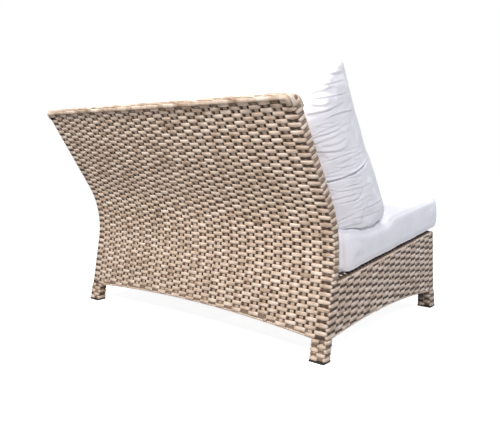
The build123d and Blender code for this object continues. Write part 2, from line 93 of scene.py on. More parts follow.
# Middle surface of the weave, in from the frame's face: outside, and under the cushions
SKIN = 6.6 * MM
SKIN_UNDER = 7.8 * MM
LEG_SKIN = 3.8 * MM
TUCK = 8 * MM
STEPS_PER_COLUMN = 8
# Streaks in the resin for each metre, along a strand and across it
STREAKS_ALONG = 14
STREAKS_ACROSS = 420
# Rows start this many below the arches, so that those of the aprons fill the shell's front
ROWS_BELOW = 8
# Room for the border at the top of the back, and the aprons' gaps to the arches and the deck
BORDER_ROOM = 24 * MM
ARCH_GAP = 4 * MM
DECK_GAP = 9 * MM
# Flat strands that close the deck off, and the depth of the painted shade that darkens them
CLOSING_WIDTH = 22 * MM
REAR_CLOSING_WIDTH = 24 * MM
CLOSING_SHADE = 0.9
EDGE_RADIUS = 4.4 * MM
EDGE_WRAP = 9.0 * MM

# Camera that the photograph was fitted with
CAMERA_PLACE = (-1.6186, REAR + 1.5295, 0.7135)
CAMERA_YAW = 140.052
CAMERA_PITCH = -6.799
CAMERA_ROLL = -0.05
FOCAL_PIXELS = 568.61
FRAME_PIXELS = 500
SENSOR = 36.0


def ease(value):
    """Smooth step from 0 to 1."""
    value = np.clip(value, 0, 1)
    return value * value * (3 - 2 * value)


def in_scene(name, data):
    """A new object in the scene, which holds a mesh, a camera or a lamp."""
    holder = bpy.data.objects.new(name, data)
    bpy.context.scene.collection.objects.link(holder)
    return holder


def lean_up(angle):
    """Direction y, z that leans back by an angle from straight up."""
    turn = np.radians(angle)
    return np.stack([np.sin(turn), np.cos(turn)], -1)


def lean_in(angle):
    """Direction y, z square to lean_up(angle), towards the front."""
    turn = np.radians(angle)
    return np.stack([-np.cos(turn), np.sin(turn)], -1)


# Centre of the bend that joins the leg run and the back run, and where the runs meet it
half_turn = math.radians((LEG_LEAN + BACK_LEAN) / 2)
bend_corner = np.array([REAR - BEND_HEIGHT * math.tan(math.radians(LEG_LEAN)), BEND_HEIGHT])
bend_middle = (BACK_LEAN - LEG_LEAN) / 2
bend_centre = bend_corner - lean_in(bend_middle) * BEND_RADIUS / math.cos(half_turn)
leg_run = (bend_centre + lean_in(-LEG_LEAN) * BEND_RADIUS)[1] / math.cos(math.radians(LEG_LEAN))
bend_run = BEND_RADIUS * math.radians(LEG_LEAN + BACK_LEAN)
run_end_height = (bend_centre + lean_in(BACK_LEAN) * BEND_RADIUS)[1]
back_run = leg_run + bend_run + (BACK_TOP - run_end_height) / math.cos(math.radians(BACK_LEAN))


def back_lean_at(length):
    """Lean of the back at a length up its rear face from the floor."""
    return -LEG_LEAN + np.degrees(np.clip(length - leg_run, 0, bend_run) / BEND_RADIUS)


def back_place(length, depth=0.0):
    """Point y, z at a length up the rear face, and a depth in from it."""
    length = np.asarray(length, float)
    lean = back_lean_at(length)
    beyond = np.minimum(length - leg_run, 0) + np.maximum(length - leg_run - bend_run, 0)
    reach = BEND_RADIUS + np.asarray(depth, float)
    return bend_centre + lean_in(lean) * reach[..., None] + lean_up(lean) * beyond[..., None]


def length_at(height, depth=0.0):
    """Length up the rear face at which a depth in from it reaches a height."""
    lengths = np.linspace(0, back_run + 0.1, 900)
    return float(np.interp(height, back_place(lengths, np.full(900, depth))[:, 1], lengths))


def front_face(height):
    """Place along y of the raked front face at a height."""
    return FRONT_FOOT + height * math.tan(math.radians(FRONT_RAKE))


def deck_height(place):
    """Height of the top of the deck at a place along y."""
    return SEAT_FRONT - (place - front_face(SEAT_FRONT)) * math.tan(math.radians(SEAT_TILT))


def arch_height(place, half_span):
    """Height of the arch's edge at a place from its middle."""
    return ARCH_FOOT + ARCH_RISE * np.clip(1 - (place / half_span) ** 2, 0, 1)


def back_front_edge(height):
    """Place along y of the front face of the back at a height."""
    return float(back_place(length_at(height, BACK_DEPTH), BACK_DEPTH)[0])


# Where the deck meets the back, from a height near it, and how high the rows of the aprons go
DECK_REAR_NEAR = 266 * MM
deck_rear_height = deck_height(back_front_edge(DECK_REAR_NEAR))
apron_top = deck_rear_height + 8 * MM

# The deck's front edge, and its directions rearward and up, in y and z
deck_corner = np.array([front_face(SEAT_FRONT), SEAT_FRONT])
deck_back = np.array([math.cos(math.radians(SEAT_TILT)), -math.sin(math.radians(SEAT_TILT))])
deck_up = np.array([math.sin(math.radians(SEAT_TILT)), math.cos(math.radians(SEAT_TILT))])

# Materials

def linear(hex_colour):
    """Linear colour from an sRGB hex value."""
    parts = [int(hex_colour[i:i + 2], 16) / 255 for i in (1, 3, 5)]
    return [c / 12.92 if c <= 0.04045 else ((c + 0.055) / 1.055) ** 2.4 for c in parts] + [1.0]


def add_node(tree, kind, settings=None, inputs=None):
    """A node of one kind, with its settings, and a value or a link for each named input."""
    node = tree.nodes.new(kind)
    for name, value in (settings or {}).items():
        setattr(node, name, value)
    for name, value in (inputs or {}).items():
        if isinstance(value, bpy.types.NodeSocket):
            tree.links.new(value, node.inputs[name])
        else:
            node.inputs[name].default_value = value
    return node


def new_material(name):
    """Empty node material and its surface output."""
    material = bpy.data.materials.new(name)
    material.use_nodes = True
    material.node_tree.nodes.clear()
    output = material.node_tree.nodes.new("ShaderNodeOutputMaterial")
    return material, material.node_tree, output


def colour_ramp(tree, factor, stops):
    """Colour between sRGB stops, each a place and a hex value."""
    ramp = add_node(tree, "ShaderNodeValToRGB", inputs={"Fac": factor})
    elements = ramp.color_ramp.elements
    while len(elements) < len(stops):
        elements.new(0.5)
    for element, (place, colour) in zip(elements, stops):
        element.position = place
        element.color = linear(colour)
    return ramp.outputs["Color"]


def resin_wicker(name):
    """Extruded polyethylene strand, half round: warm tan with drawn streaks and a soft satin sheen,
    darkened by painted shade where it dives under a rib.
    """
    material, tree, output = new_material(name)
    place = add_node(tree, "ShaderNodeAttribute", {"attribute_name": "strand"})
    streaks = add_node(tree, "ShaderNodeTexNoise", inputs={
        "Vector": place.outputs["Vector"], "Scale": 1.0, "Detail": 3.0, "Roughness": 0.6,
    })
    # Tone drifts along each strand, so that neighbouring bumps differ a little
    along = add_node(tree, "ShaderNodeMapping", inputs={
        "Vector": place.outputs["Vector"], "Scale": (1.6, 0.0, 1.0),
    })
    drift = add_node(tree, "ShaderNodeTexNoise", inputs={
        "Vector": along.outputs["Vector"], "Scale": 1.0, "Detail": 1.0,
    })
    both = add_node(tree, "ShaderNodeMath", {"operation": "ADD"}, {
        0: drift.outputs["Fac"], 1: streaks.outputs["Fac"],
    })
    mixed = add_node(tree, "ShaderNodeMath", {"operation": "MULTIPLY"}, {0: both.outputs[0], 1: 0.5})
    # Painted shade: where a strand dives under a rib its colour is darkened, as shade in the crossings,
    # so that they read as pits
    painted_shade = add_node(tree, "ShaderNodeAttribute", {"attribute_name": "painted_shade"})
    shaded = add_node(tree, "ShaderNodeMath", {"operation": "MULTIPLY_ADD"}, {
        0: painted_shade.outputs["Fac"], 1: -0.48, 2: mixed.outputs[0],
    })
    colour = colour_ramp(tree, shaded.outputs[0], [
        (0.1, "#46362A"), (0.34, "#9A826C"), (0.45, "#C3AD97"), (0.53, "#DAC7B4"), (0.64, "#EBDDCC"),
    ])
    bump = add_node(tree, "ShaderNodeBump", inputs={
        "Height": streaks.outputs["Fac"], "Strength": 0.25, "Distance": 0.6 * MM,
    })
    shader = add_node(tree, "ShaderNodeBsdfPrincipled", inputs={
        "Base Color": colour, "Roughness": 0.4, "IOR": 1.5, "Normal": bump.outputs["Normal"],
    })
    tree.links.new(shader.outputs["BSDF"], output.inputs["Surface"])
    return material


def outdoor_cloth(name, colour_low, colour_high):
    """Solution dyed acrylic in a plain weave: matt, near white, with slubs in the yarn."""
    material, tree, output = new_material(name)
    place = add_node(tree, "ShaderNodeTexCoord")
    slubs = add_node(tree, "ShaderNodeTexNoise", inputs={
        "Vector": place.outputs["Object"], "Scale": 9.0, "Detail": 4.0, "Roughness": 0.55,
    })
    colour = colour_ramp(tree, slubs.outputs["Fac"], [(0.35, colour_low), (0.65, colour_high)])
    # Threads are about 0.8 mm apart on such cloth; drawn at 1.6 mm, so that they show
    thread = 1.6 * MM
    waves = []
    for direction in ("X", "Y", "Z"):
        wave = add_node(tree, "ShaderNodeTexWave", {"bands_direction": direction}, {
            "Vector": place.outputs["Object"], "Scale": 2 * math.pi / 20 / thread,
            "Distortion": 0.4, "Detail": 1.0,
        })
        waves.append(wave.outputs["Fac"])
    woven = add_node(tree, "ShaderNodeMath", {"operation": "ADD"}, {0: waves[0], 1: waves[1]})
    woven = add_node(tree, "ShaderNodeMath", {"operation": "ADD"}, {
        0: woven.outputs[0], 1: waves[2],
    })
    bump = add_node(tree, "ShaderNodeBump", inputs={
        "Height": woven.outputs[0], "Strength": 0.12, "Distance": 0.3 * MM,
    })
    shader = add_node(tree, "ShaderNodeBsdfPrincipled", inputs={
        "Base Color": colour, "Roughness": 0.9, "IOR": 1.45, "Sheen Weight": 0.15,
        "Sheen Roughness": 0.5, "Normal": bump.outputs["Normal"],
    })
    tree.links.new(shader.outputs["BSDF"], output.inputs["Surface"])
    return material


def powder_coat(name, colour_low, colour_high, roughness):
    """Baked polyester powder on metal: an even colour with fine orange peel."""
    material, tree, output = new_material(name)
    place = add_node(tree, "ShaderNodeTexCoord")
    peel = add_node(tree, "ShaderNodeTexNoise", inputs={
        "Vector": place.outputs["Object"], "Scale": 700.0, "Detail": 2.0,
    })
    cast = add_node(tree, "ShaderNodeTexNoise", inputs={
        "Vector": place.outputs["Object"], "Scale": 6.0, "Detail": 3.0,
    })
    colour = colour_ramp(tree, cast.outputs["Fac"], [(0.35, colour_low), (0.65, colour_high)])
    bump = add_node(tree, "ShaderNodeBump", inputs={
        "Height": peel.outputs["Fac"], "Strength": 0.15, "Distance": 0.2 * MM,
    })
    shader = add_node(tree, "ShaderNodeBsdfPrincipled", inputs={
        "Base Color": colour, "Roughness": roughness, "IOR": 1.5,
        "Normal": bump.outputs["Normal"],
    })
    tree.links.new(shader.outputs["BSDF"], output.inputs["Surface"])
    return material


# The zips' enamel and the moulded glides have an even colour and a fine grain, as a powder coat does
wicker = resin_wicker("resin_wicker")
cover_cloth = outdoor_cloth("acrylic_cover_cloth", "#F1F0F2", "#F8F7F8")
filling_cloth = outdoor_cloth("filling_ticking", "#E2DDD0", "#EBE7DC")
tape_cloth = outdoor_cloth("zip_tape_cloth", "#DAD8D4", "#E6E4E0")
tube_coat = powder_coat("tan_powder_coat", "#7F6D5B", "#8B7864", 0.5)
zip_enamel = powder_coat("zip_enamel", "#D2D0CC", "#DEDCD8", 0.35)
glide_plastic = powder_coat("glide_polyethylene", "#1E1C1B", "#2A2725", 0.55)
SLOT_MATERIALS = {
    "wicker": wicker, "frame_tube": tube_coat, "glide": glide_plastic,
    "cushion_cover": cover_cloth, "cushion_core": filling_cloth, "zip_tape": tape_cloth,
    "zip_metal": zip_enamel,
}


def finish_frame_nodes():
    """Each node of the frame takes the material of its slot."""
    for part in frame["record"]["subparts"]:
        node = frame["nodes"][part["node"]]
        node.data.materials.clear()
        node.data.materials.append(SLOT_MATERIALS[part["material_slot"]])


# Strand meshes

# Section of a strand: shares of its width, and of its thickness outwards
STRAND_SHARES = np.array([
    (-0.5, 0.0), (-0.42, 0.27), (-0.23, 0.46), (0.0, 0.52), (0.23, 0.46), (0.42, 0.27), (0.5, 0.0),
    (0.0, -0.3),
])
RIB_SHARES = np.array([
    (-0.5, 0.0), (-0.3, 0.42), (0.3, 0.42), (0.5, 0.0), (0.25, -0.4), (-0.25, -0.4),
])


class Weave:
    """Strands collected into one mesh, with each vertex's place on its strand."""

    def __init__(self):
        self.vertices = []
        self.quads = []
        self.caps = []
        self.strands = []
        # Painted shade of each vertex, which darkens the wicker's colour
        self.dives = []
        self.count = 0

    def add(self, rings, places, closed, painted_shade=0.0):
        """Rings of vertices joined in their order, the strand place of each vertex, and the painted shade
        of each ring.
        """
        number, sides = rings.shape[:2]
        index = self.count + np.arange(number * sides).reshape(number, sides)
        before = index if closed else index[:-1]
        after = np.roll(index, -1, 0) if closed else index[1:]
        quads = np.stack([before, after, np.roll(after, -1, 1), np.roll(before, -1, 1)], -1)
        quads = quads.reshape(-1, 4)
        first, last = index[0], index[-1][::-1]
        # The faces look outwards when the rings turn right about their travel
        middle = rings[0].mean(0)
        turn = np.cross(rings[0] - middle, np.roll(rings[0], -1, 0) - middle).sum(0)
        if np.dot(turn, rings[1].mean(0) - middle) > 0:
            quads, first, last = quads[:, ::-1], first[::-1], last[::-1]
        self.quads.append(quads)
        if not closed:
            self.caps += [first, last]
        self.strands.append(places.reshape(-1, 3))
        self.dives.append(np.repeat(np.broadcast_to(np.asarray(painted_shade, float), number), sides))
        self.vertices.append(rings.reshape(-1, 3))
        self.count += number * sides

    def sweep(self, points, outward, widthwise, widths, thicks, shares, closed=False, painted_shade=0.0):
        """A strand along points, with the directions of its thickness and its width at each."""
        widths = np.broadcast_to(np.asarray(widths, float), len(points))
        thicks = np.broadcast_to(np.asarray(thicks, float), len(points))
        across = widthwise[:, None, :] * (shares[None, :, 0] * widths[:, None])[..., None]
        lifted = outward[:, None, :] * (shares[None, :, 1] * thicks[:, None])[..., None]
        steps = np.linalg.norm(np.diff(points, axis=0), axis=1)
        run = np.concatenate([[0], np.cumsum(steps)]) + draw.uniform(0, 50)
        places = np.empty((len(points), len(shares), 3))
        places[:, :, 0] = run[:, None] * STREAKS_ALONG
        places[:, :, 1] = shares[None, :, 0] * float(widths.max()) * STREAKS_ACROSS
        places[:, :, 2] = draw.uniform(0, 1000)
        self.add(points[:, None, :] + across + lifted, places, closed, painted_shade)

    def roll(self, points, first, second):
        """A strand wound round an edge: a roll along points, pinched between its turns."""
        steps = np.linalg.norm(np.diff(points, axis=0), axis=1)
        run = np.concatenate([[0], np.cumsum(steps)])
        number = max(int(run[-1] / EDGE_WRAP * 5), 4)
        where = np.linspace(0, run[-1], number + 1)
        line, first, second = (
            np.stack([np.interp(where, run, values[:, k]) for k in range(3)], -1)
            for values in (points, first, second)
        )
        angles = np.linspace(0, 2 * math.pi, 8, endpoint=False)
        turns = where[:, None] / EDGE_WRAP + angles[None, :] / (2 * math.pi)
        radii = EDGE_RADIUS * (0.72 + 0.28 * np.abs(np.sin(math.pi * turns)) ** 0.6)
        rings = line[:, None, :] + first[:, None, :] * (np.cos(angles) * radii)[..., None]
        rings = rings + second[:, None, :] * (np.sin(angles) * radii)[..., None]
        places = np.empty(rings.shape)
        places[:, :, 0] = angles * 0.3
        places[:, :, 1] = where[:, None] * STREAKS_ACROSS
        places[:, :, 2] = np.floor(turns) * 3.7 + draw.randint(0, 500)
        self.add(rings, places, False)

    def piece(self, name, nodes):
        """The object, which rides on the welded frame in place of its nodes."""
        mesh = bpy.data.meshes.new(name)
        vertices = np.concatenate(self.vertices)
        quads = np.concatenate(self.quads)
        mesh.vertices.add(len(vertices))
        mesh.vertices.foreach_set("co", vertices.astype(np.float32).ravel())
        cap_corners = np.concatenate(self.caps) if self.caps else np.zeros(0, int)
        sizes = np.array([4] * len(quads) + [len(cap) for cap in self.caps])
        corners = np.concatenate([quads.ravel(), cap_corners])
        mesh.loops.add(len(corners))
        mesh.loops.foreach_set("vertex_index", corners.astype(np.int32))
        mesh.polygons.add(len(sizes))
        starts = np.concatenate([[0], np.cumsum(sizes)[:-1]])
        mesh.polygons.foreach_set("loop_start", starts.astype(np.int32))
        mesh.update(calc_edges=True)
        mesh.shade_smooth()
        attribute = mesh.attributes.new("strand", "FLOAT_VECTOR", "POINT")
        places = np.concatenate(self.strands).astype(np.float32)
        attribute.data.foreach_set("vector", places.ravel())
        # Painted shade, which the wicker material reads to darken its colour
        attribute = mesh.attributes.new("painted_shade", "FLOAT", "POINT")
        attribute.data.foreach_set("value", np.concatenate(self.dives).astype(np.float32))
        mesh.materials.append(wicker)
        piece = in_scene(name, mesh)
        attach(piece, "frame")
        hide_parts(*nodes)


def unit_rows(values):
    """Each row of an array at length one."""
    return values / np.maximum(np.linalg.norm(values, axis=1, keepdims=True), 1e-9)


def column_noise(phases, spread):
    """Random value for each column, smooth in between."""
    low = int(phases.min()) - 2
    number = int(phases.max()) + 3 - low
    return np.interp(phases, np.arange(number) + low, draw.uniform(-spread, spread, number))


def weft(weave, points, outward, phases, row, calm=0.0, closed=False, shade=1.0, dark=0.0):
    """A row's strand: proud over every other column, narrow where it dives under a rib.
    Where calm is 1 it lies flat instead, at an even width. Its colour is darkened by painted shade where
    it dives, scaled by shade, and never less than dark says."""
    calm = np.broadcast_to(np.asarray(calm, float), len(phases))
    swing = np.sin(math.pi * phases) * (-1) ** row
    rise = ease((swing + 0.58) / 0.6)
    travel = np.roll(points, -1, 0) - np.roll(points, 1, 0)
    if not closed:
        travel[0] = points[1] - points[0]
        travel[-1] = points[-1] - points[-2]
    widthwise = unit_rows(np.cross(outward, unit_rows(travel)))
    if widthwise[:, 2].mean() < 0:
        widthwise = -widthwise
    profile = 1.45 * rise + 0.25 * np.maximum(swing, 0) - 0.7
    lift = STRAND_WAVE * (profile * (1 - calm) + 0.4 * calm)
    # Over a post of the frame the strand can't sink in
    over_post = np.abs(points[:, 0]) > HALF_WIDTH - LEG_WIDTH
    lift = np.where(over_post, np.maximum(lift, 0.1 * STRAND_WAVE), lift)
    lift = lift + column_noise(phases, 0.25 * MM)
    over = ease((swing + 0.38) / 0.95)
    widths = STRAND_UNDER + (STRAND_OVER - STRAND_UNDER) * over
    widths = widths * (1 - calm) + STRAND_FLAT * calm
    widths = widths * (1 + column_noise(phases, 0.045))
    thicks = STRAND_THICK * (0.62 + 0.38 * np.maximum(over, calm))
    line = points + outward * lift[:, None] + widthwise * column_noise(phases, 0.5 * MM)[:, None]
    if not closed:
        line[0] = line[1] - outward[0] * TUCK
        line[-1] = line[-2] - outward[-1] * TUCK
    # Painted shade: the colour darkens where the strand dives, as if in the shade of the crossing
    painted_shade = np.maximum(np.clip(1.9 * (1 - rise), 0, 1) * (1 - calm) * shade, dark)
    weave.sweep(line, outward, widthwise, widths, thicks, STRAND_SHARES, closed, painted_shade)


def ring_line(half, near, far, columns, nominal_half):
    """Flat loop round a section, in x and depth, from its rear left corner, with the outside on the
    right of the travel. Columns are counted over the rear, the right end, the front, the left end,
    and the corner where the loop starts is phase 1."""
    corners = np.array([(-half, near), (half, near), (half, far), (-half, far)])
    points, normals, marks = [], [], []
    for i in range(4):
        into = corners[i] - corners[i - 1]
        into = into / np.linalg.norm(into)
        side = np.array([into[1], -into[0]])
        centre = corners[i] - into * POST_BEND - side * POST_BEND
        for share in np.linspace(0, 1, 7):
            angle = math.pi / 2 * share
            normal = side * math.cos(angle) + into * math.sin(angle)
            points.append(centre + normal * POST_BEND)
            normals.append(normal)
            if share == 0.5:
                marks.append(len(points) - 1)
    in_loop = len(points)
    points, normals = np.array(points * 3), np.array(normals * 3)
    run = np.concatenate([[0], np.cumsum(np.linalg.norm(np.diff(points, axis=0), axis=1))])
    # Where the section is narrower, its corners cut the outer columns short
    inset = (nominal_half - half) / (2 * nominal_half) * columns[0]
    total = sum(columns)
    corner_phases = [
        1.0 + sum(columns[:corner]) + way * inset for corner, way in enumerate((1, -1, 1, -1))
    ]
    known_runs = [run[mark + in_loop * turn] for turn in range(3) for mark in marks]
    known = [phase + total * (turn - 1) for turn in range(3) for phase in corner_phases]
    phases = np.interp(run, known_runs, known)
    kept = (run >= known_runs[0]) & (run <= known_runs[-1])
    return points[kept], normals[kept], phases[kept]


class Row:
    """One row round a section: its points, outward directions and column phases."""

    def __init__(self, index, ring, base, turn, rear_lean, front_lean, phases):
        flat, out, at = ring
        x = np.interp(phases, at, flat[:, 0])
        depth = np.interp(phases, at, flat[:, 1])
        side = np.interp(phases, at, out[:, 0])
        deep = np.interp(phases, at, out[:, 1])
        place = base + lean_in(turn) * depth[:, None]
        facing = np.minimum(deep, 0)[:, None] * lean_in(rear_lean)
        facing = facing + np.maximum(deep, 0)[:, None] * lean_in(front_lean)
        self.index = index
        self.phases = phases
        self.depth = depth
        self.points = np.column_stack([x, place])
        self.outward = unit_rows(np.column_stack([side, facing]))
        self.keep = np.ones(len(phases), bool)
        # At a bend of the post the strand lies flat
        self.calm = np.clip(1.6 * (1 - np.maximum(np.abs(side), np.abs(deep))) / 0.29, 0, 1)

    def at(self, phase):
        """Point and outward direction at one phase, and whether the row is there."""
        values = [np.interp(phase, self.phases, self.points[:, k]) for k in range(3)]
        facing = [np.interp(phase, self.phases, self.outward[:, k]) for k in range(3)]
        near = int(np.argmin(np.abs(self.phases - phase)))
        return np.array(values), np.array(facing), bool(self.keep[near])

    def lay(self, weave):
        """Lay the strand, whole or in the runs that are kept."""
        if self.keep.all():
            weft(weave, self.points, self.outward, self.phases, self.index, self.calm, True)
            return
        number = len(self.phases)
        start = int(np.argmin(self.keep))
        order = np.arange(start, start + number) % number
        period = round(number / STEPS_PER_COLUMN)
        run = []
        for spot in list(order) + [start]:
            if self.keep[spot]:
                run.append(spot)
                continue
            if len(run) > 4:
                phases = self.phases[run].copy()
                phases[1:] += period * np.cumsum(np.diff(phases) < 0)
                weft(weave, self.points[run], self.outward[run], phases, self.index,
                     self.calm[run])
            run = []


def lay_rib(weave, rows, phase):
    """A rib across rows: in where a row's strand passes over it, out where one dives under."""
    points, facings, lifts = [], [], []
    for row in rows:
        point, facing, kept = row.at(phase)
        if not kept:
            continue
        swing = math.sin(math.pi * phase) * (-1) ** row.index
        if points:
            points.append((points[-1] + point) / 2)
            facings.append((facings[-1] + facing) / 2)
            lifts.append(RIB_LIFT)
        points.append(point)
        facings.append(facing)
        lifts.append(RIB_LIFT - RIB_WAVE * swing)
    if len(points) < 3:
        return
    points, facings = np.array(points), unit_rows(np.array(facings))
    travel = unit_rows(np.gradient(points, axis=0))
    line = points + facings * np.array(lifts)[:, None]
    weave.sweep(line, facings, np.cross(facings, travel), RIB_WIDTH, RIB_THICK, RIB_SHARES,
                painted_shade=RIB_SHADE)


def top_half(height):
    """Half of the back's width at a height, less at its rounded corners."""
    rise = max(height - (BACK_TOP - CORNER_RADIUS), 0)
    return HALF_WIDTH - CORNER_RADIUS + math.sqrt(max(CORNER_RADIUS ** 2 - rise ** 2, 0))


def shell_rows():
    """Rows of the back above the deck, and of the aprons below it."""
    lowest = length_at(ARCH_FOOT)
    highest = back_run - BORDER_ROOM
    number = int(round((highest - lowest) / ROW_PITCH))
    pitch = (highest - lowest) / number
    rings, aprons = [], []
    nominal = HALF_WIDTH - SKIN
    open_half = HALF_WIDTH - LEG_WIDTH
    step = 1 / STEPS_PER_COLUMN
    tilt = math.radians(SEAT_TILT)
    # The aprons' rows rise towards the front as the deck does, so the lowest start under the rear arch
    for index in range(-ROWS_BELOW, number):
        length = lowest + (index + 0.5) * pitch
        lean = float(back_lean_at(length))
        base = back_place(length)
        height = base[1]
        if height <= apron_top:
            depth = base[0] - front_face(height)
            depth /= math.cos(tilt) + math.sin(tilt) * math.tan(math.radians(FRONT_RAKE))
            ring = ring_line(nominal, SKIN, depth - SKIN,
                             (BACK_COLUMNS, SIDE_COLUMNS, BACK_COLUMNS, SIDE_COLUMNS), nominal)
            phases = np.arange(1, 1 + 2 * (BACK_COLUMNS + SIDE_COLUMNS), step)
            row = Row(index, ring, base, SEAT_TILT, lean, FRONT_RAKE, phases)
            y, z = row.points[:, 1], row.points[:, 2]
            inner = np.abs(row.points[:, 0]) < nominal - 2 * MM
            row.keep &= z > ARCH_FOOT
            row.keep &= ~(inner & (z < arch_height(row.points[:, 0], open_half) + ARCH_GAP))
            low, high = front_face(ARCH_FOOT) + FRONT_DEPTH, back_front_edge(ARCH_FOOT)
            under = z < arch_height(y - (low + high) / 2, (high - low) / 2) + ARCH_GAP
            row.keep &= ~(under & (y > low) & (y < high) & ~inner)
            row.keep &= (z < deck_height(y) - DECK_GAP) | (row.depth < BACK_DEPTH * 0.8)
            aprons.append(row)
        else:
            turn = max(lean, 0.0)
            far = BACK_DEPTH / math.cos(math.radians(turn - lean)) - SKIN_UNDER
            half = top_half(height) - SKIN
            columns = (BACK_COLUMNS, 1, BACK_COLUMNS, 1)
            ring = ring_line(half, SKIN, far, columns, nominal)
            phases = np.arange(0.5, 0.5 + sum(columns), step)
            row = Row(index, ring, base, turn, lean, lean, phases)
            row.keep &= row.points[:, 2] < BACK_TOP - 10 * MM
            # At the ends the strands lie half flat, and painted shade darkens every other row
            ends = np.abs(row.points[:, 0]) > half - 1 * MM
            row.calm = np.where(ends, 0.5, row.calm)
            rings.append(row)
    return rings, aprons


def weave_shell():
    """The woven shell, in bands of rows, with the ribs behind them."""
    back_nodes = ("back_outer_weave", "back_inner_weave", "back_end_weave_left",
                  "back_end_weave_right", "back_top_weave")
    apron_nodes = ("side_weave_left", "side_weave_right", "front_weave", "back_outer_weave",
                   "back_end_weave_left", "back_end_weave_right")
    rings, aprons = shell_rows()
    third, half = len(rings) // 3, len(aprons) // 2
    for name, rows, nodes in (
        ("back_weave_lower", rings[:third], back_nodes),
        ("back_weave_middle", rings[third:len(rings) * 2 // 3], back_nodes),
        ("back_weave_upper", rings[len(rings) * 2 // 3:], back_nodes),
        ("apron_weave_lower", aprons[:half], apron_nodes),
        ("apron_weave_upper", aprons[half:], apron_nodes),
    ):
        weave = Weave()
        for row in rows:
            row.lay(weave)
        weave.piece(name, nodes)
    ribs = Weave()
    rear_low = [row for row in aprons if row.points[0, 2] <= apron_top]
    for column in range(BACK_COLUMNS):
        lay_rib(ribs, rear_low + rings, 1.5 + column)
        lay_rib(ribs, rings, BACK_COLUMNS + 2.5 + column)
        lay_rib(ribs, aprons, BACK_COLUMNS + SIDE_COLUMNS + 1.5 + column)
    for column in range(SIDE_COLUMNS):
        lay_rib(ribs, aprons, BACK_COLUMNS + 1.5 + column)
        lay_rib(ribs, aprons, 2 * BACK_COLUMNS + SIDE_COLUMNS + 1.5 + column)
    ribs.piece("shell_weave_ribs", back_nodes + apron_nodes[:3])


def weave_deck():
    """The woven deck under the seat cushions."""
    weave = Weave()
    reach = (back_front_edge(deck_rear_height) - deck_corner[0]) / math.cos(math.radians(SEAT_TILT))
    number = int(round(reach / ROW_PITCH))
    pitch = reach / number
    half = HALF_WIDTH - SKIN - 4 * MM
    phases = np.arange(0, BACK_COLUMNS + 0.01, 0.25)
    # Painted shade: the rows' ends, which turn down beside the apron, are darkened as if in the shade
    # there
    past_half = np.abs(phases / BACK_COLUMNS - 0.5) * 2 * half - half
    dark = 0.8 * np.clip((past_half + 36 * MM) / (14 * MM), 0, 1)
    rows = []
    for index in range(number):
        place = deck_corner + deck_back * (index + 0.6) * pitch - deck_up * SKIN_UNDER
        points = np.column_stack([
            (phases / BACK_COLUMNS - 0.5) * 2 * half, np.tile(place, (len(phases), 1)),
        ])
        facing = np.tile([0.0, *deck_up], (len(phases), 1))
        weft(weave, points, facing, phases, index, dark=dark)
        rows.append(points)
    for column in range(BACK_COLUMNS):
        spot = column * 4 + 2
        points = np.array([row[spot] for row in rows])
        facing = np.tile([0.0, *deck_up], (len(points), 1))
        swing = np.sin(math.pi * (column + 0.5)) * (-1.0) ** np.arange(len(points))
        line = points + facing * (RIB_LIFT - RIB_WAVE * swing)[:, None]
        widthwise = np.tile([1.0, 0.0, 0.0], (len(points), 1))
        weave.sweep(line, facing, widthwise, RIB_WIDTH, RIB_THICK, RIB_SHARES, painted_shade=RIB_SHADE)
    # A flat strand down each side closes the deck off where the rows turn in; painted shade makes it
    # dark, like the shaded gap there
    steps = 40
    run = np.linspace(4 * MM, reach + 2 * MM, steps)
    facing = np.tile([0.0, *deck_up], (steps, 1))
    widthwise = np.tile([1.0, 0.0, 0.0], (steps, 1))
    place = deck_corner + deck_back * run[:, None] - deck_up * (SKIN_UNDER + 2 * MM)
    for _, side in SIDES:
        line = np.column_stack([np.full(steps, side * (half - 6 * MM)), place])
        weave.sweep(line, facing, widthwise, CLOSING_WIDTH, RIB_THICK, RIB_SHARES, painted_shade=CLOSING_SHADE)
    # Another, dark with the same painted shade, closes it off along the foot of the back
    place = deck_corner + deck_back * (reach - 4 * MM) - deck_up * (SKIN_UNDER + 4 * MM)
    line = np.column_stack([np.linspace(-half, half, steps), np.tile(place, (steps, 1))])
    widthwise = np.tile([0.0, *deck_back], (steps, 1))
    weave.sweep(line, facing, widthwise, REAR_CLOSING_WIDTH, RIB_THICK, RIB_SHARES, painted_shade=CLOSING_SHADE)
    weave.piece("deck_weave", ("seat_deck_weave",))


def weave_legs():
    """Strands wound round the feet of the four legs."""
    number = int(round((ARCH_FOOT - GLIDE_TOP) / ROW_PITCH))
    pitch = (ARCH_FOOT - GLIDE_TOP) / number
    half = LEG_WIDTH / 2 - LEG_SKIN
    for side_name, side in SIDES:
        for end_name in ("rear", "front"):
            weave = Weave()
            rows = []
            for index in range(number):
                height = GLIDE_TOP + (index + 0.5) * pitch
                if end_name == "rear":
                    lean = -LEG_LEAN
                    base = back_place(length_at(height))
                    depth = BACK_DEPTH / math.cos(math.radians(LEG_LEAN))
                else:
                    lean = FRONT_RAKE
                    depth = FRONT_DEPTH / math.cos(math.radians(FRONT_RAKE))
                    base = np.array([front_face(height) + depth, height])
                ring = ring_line(half, LEG_SKIN, depth - LEG_SKIN, (2, 1, 2, 1), half)
                phases = np.arange(1, 7, 1 / 6)
                row = Row(index, ring, base, 0.0, lean, lean, phases)
                row.points[:, 0] += side * (HALF_WIDTH - LEG_WIDTH / 2)
                weft(weave, row.points, row.outward, phases, index, 0.35, True)
                rows.append(row)
            for column in range(6):
                lay_rib(weave, rows, 1.5 + column)
            leg = end_name + "_" + side_name
            weave.piece("leg_weave_" + leg, ("leg_wrap_" + leg,))


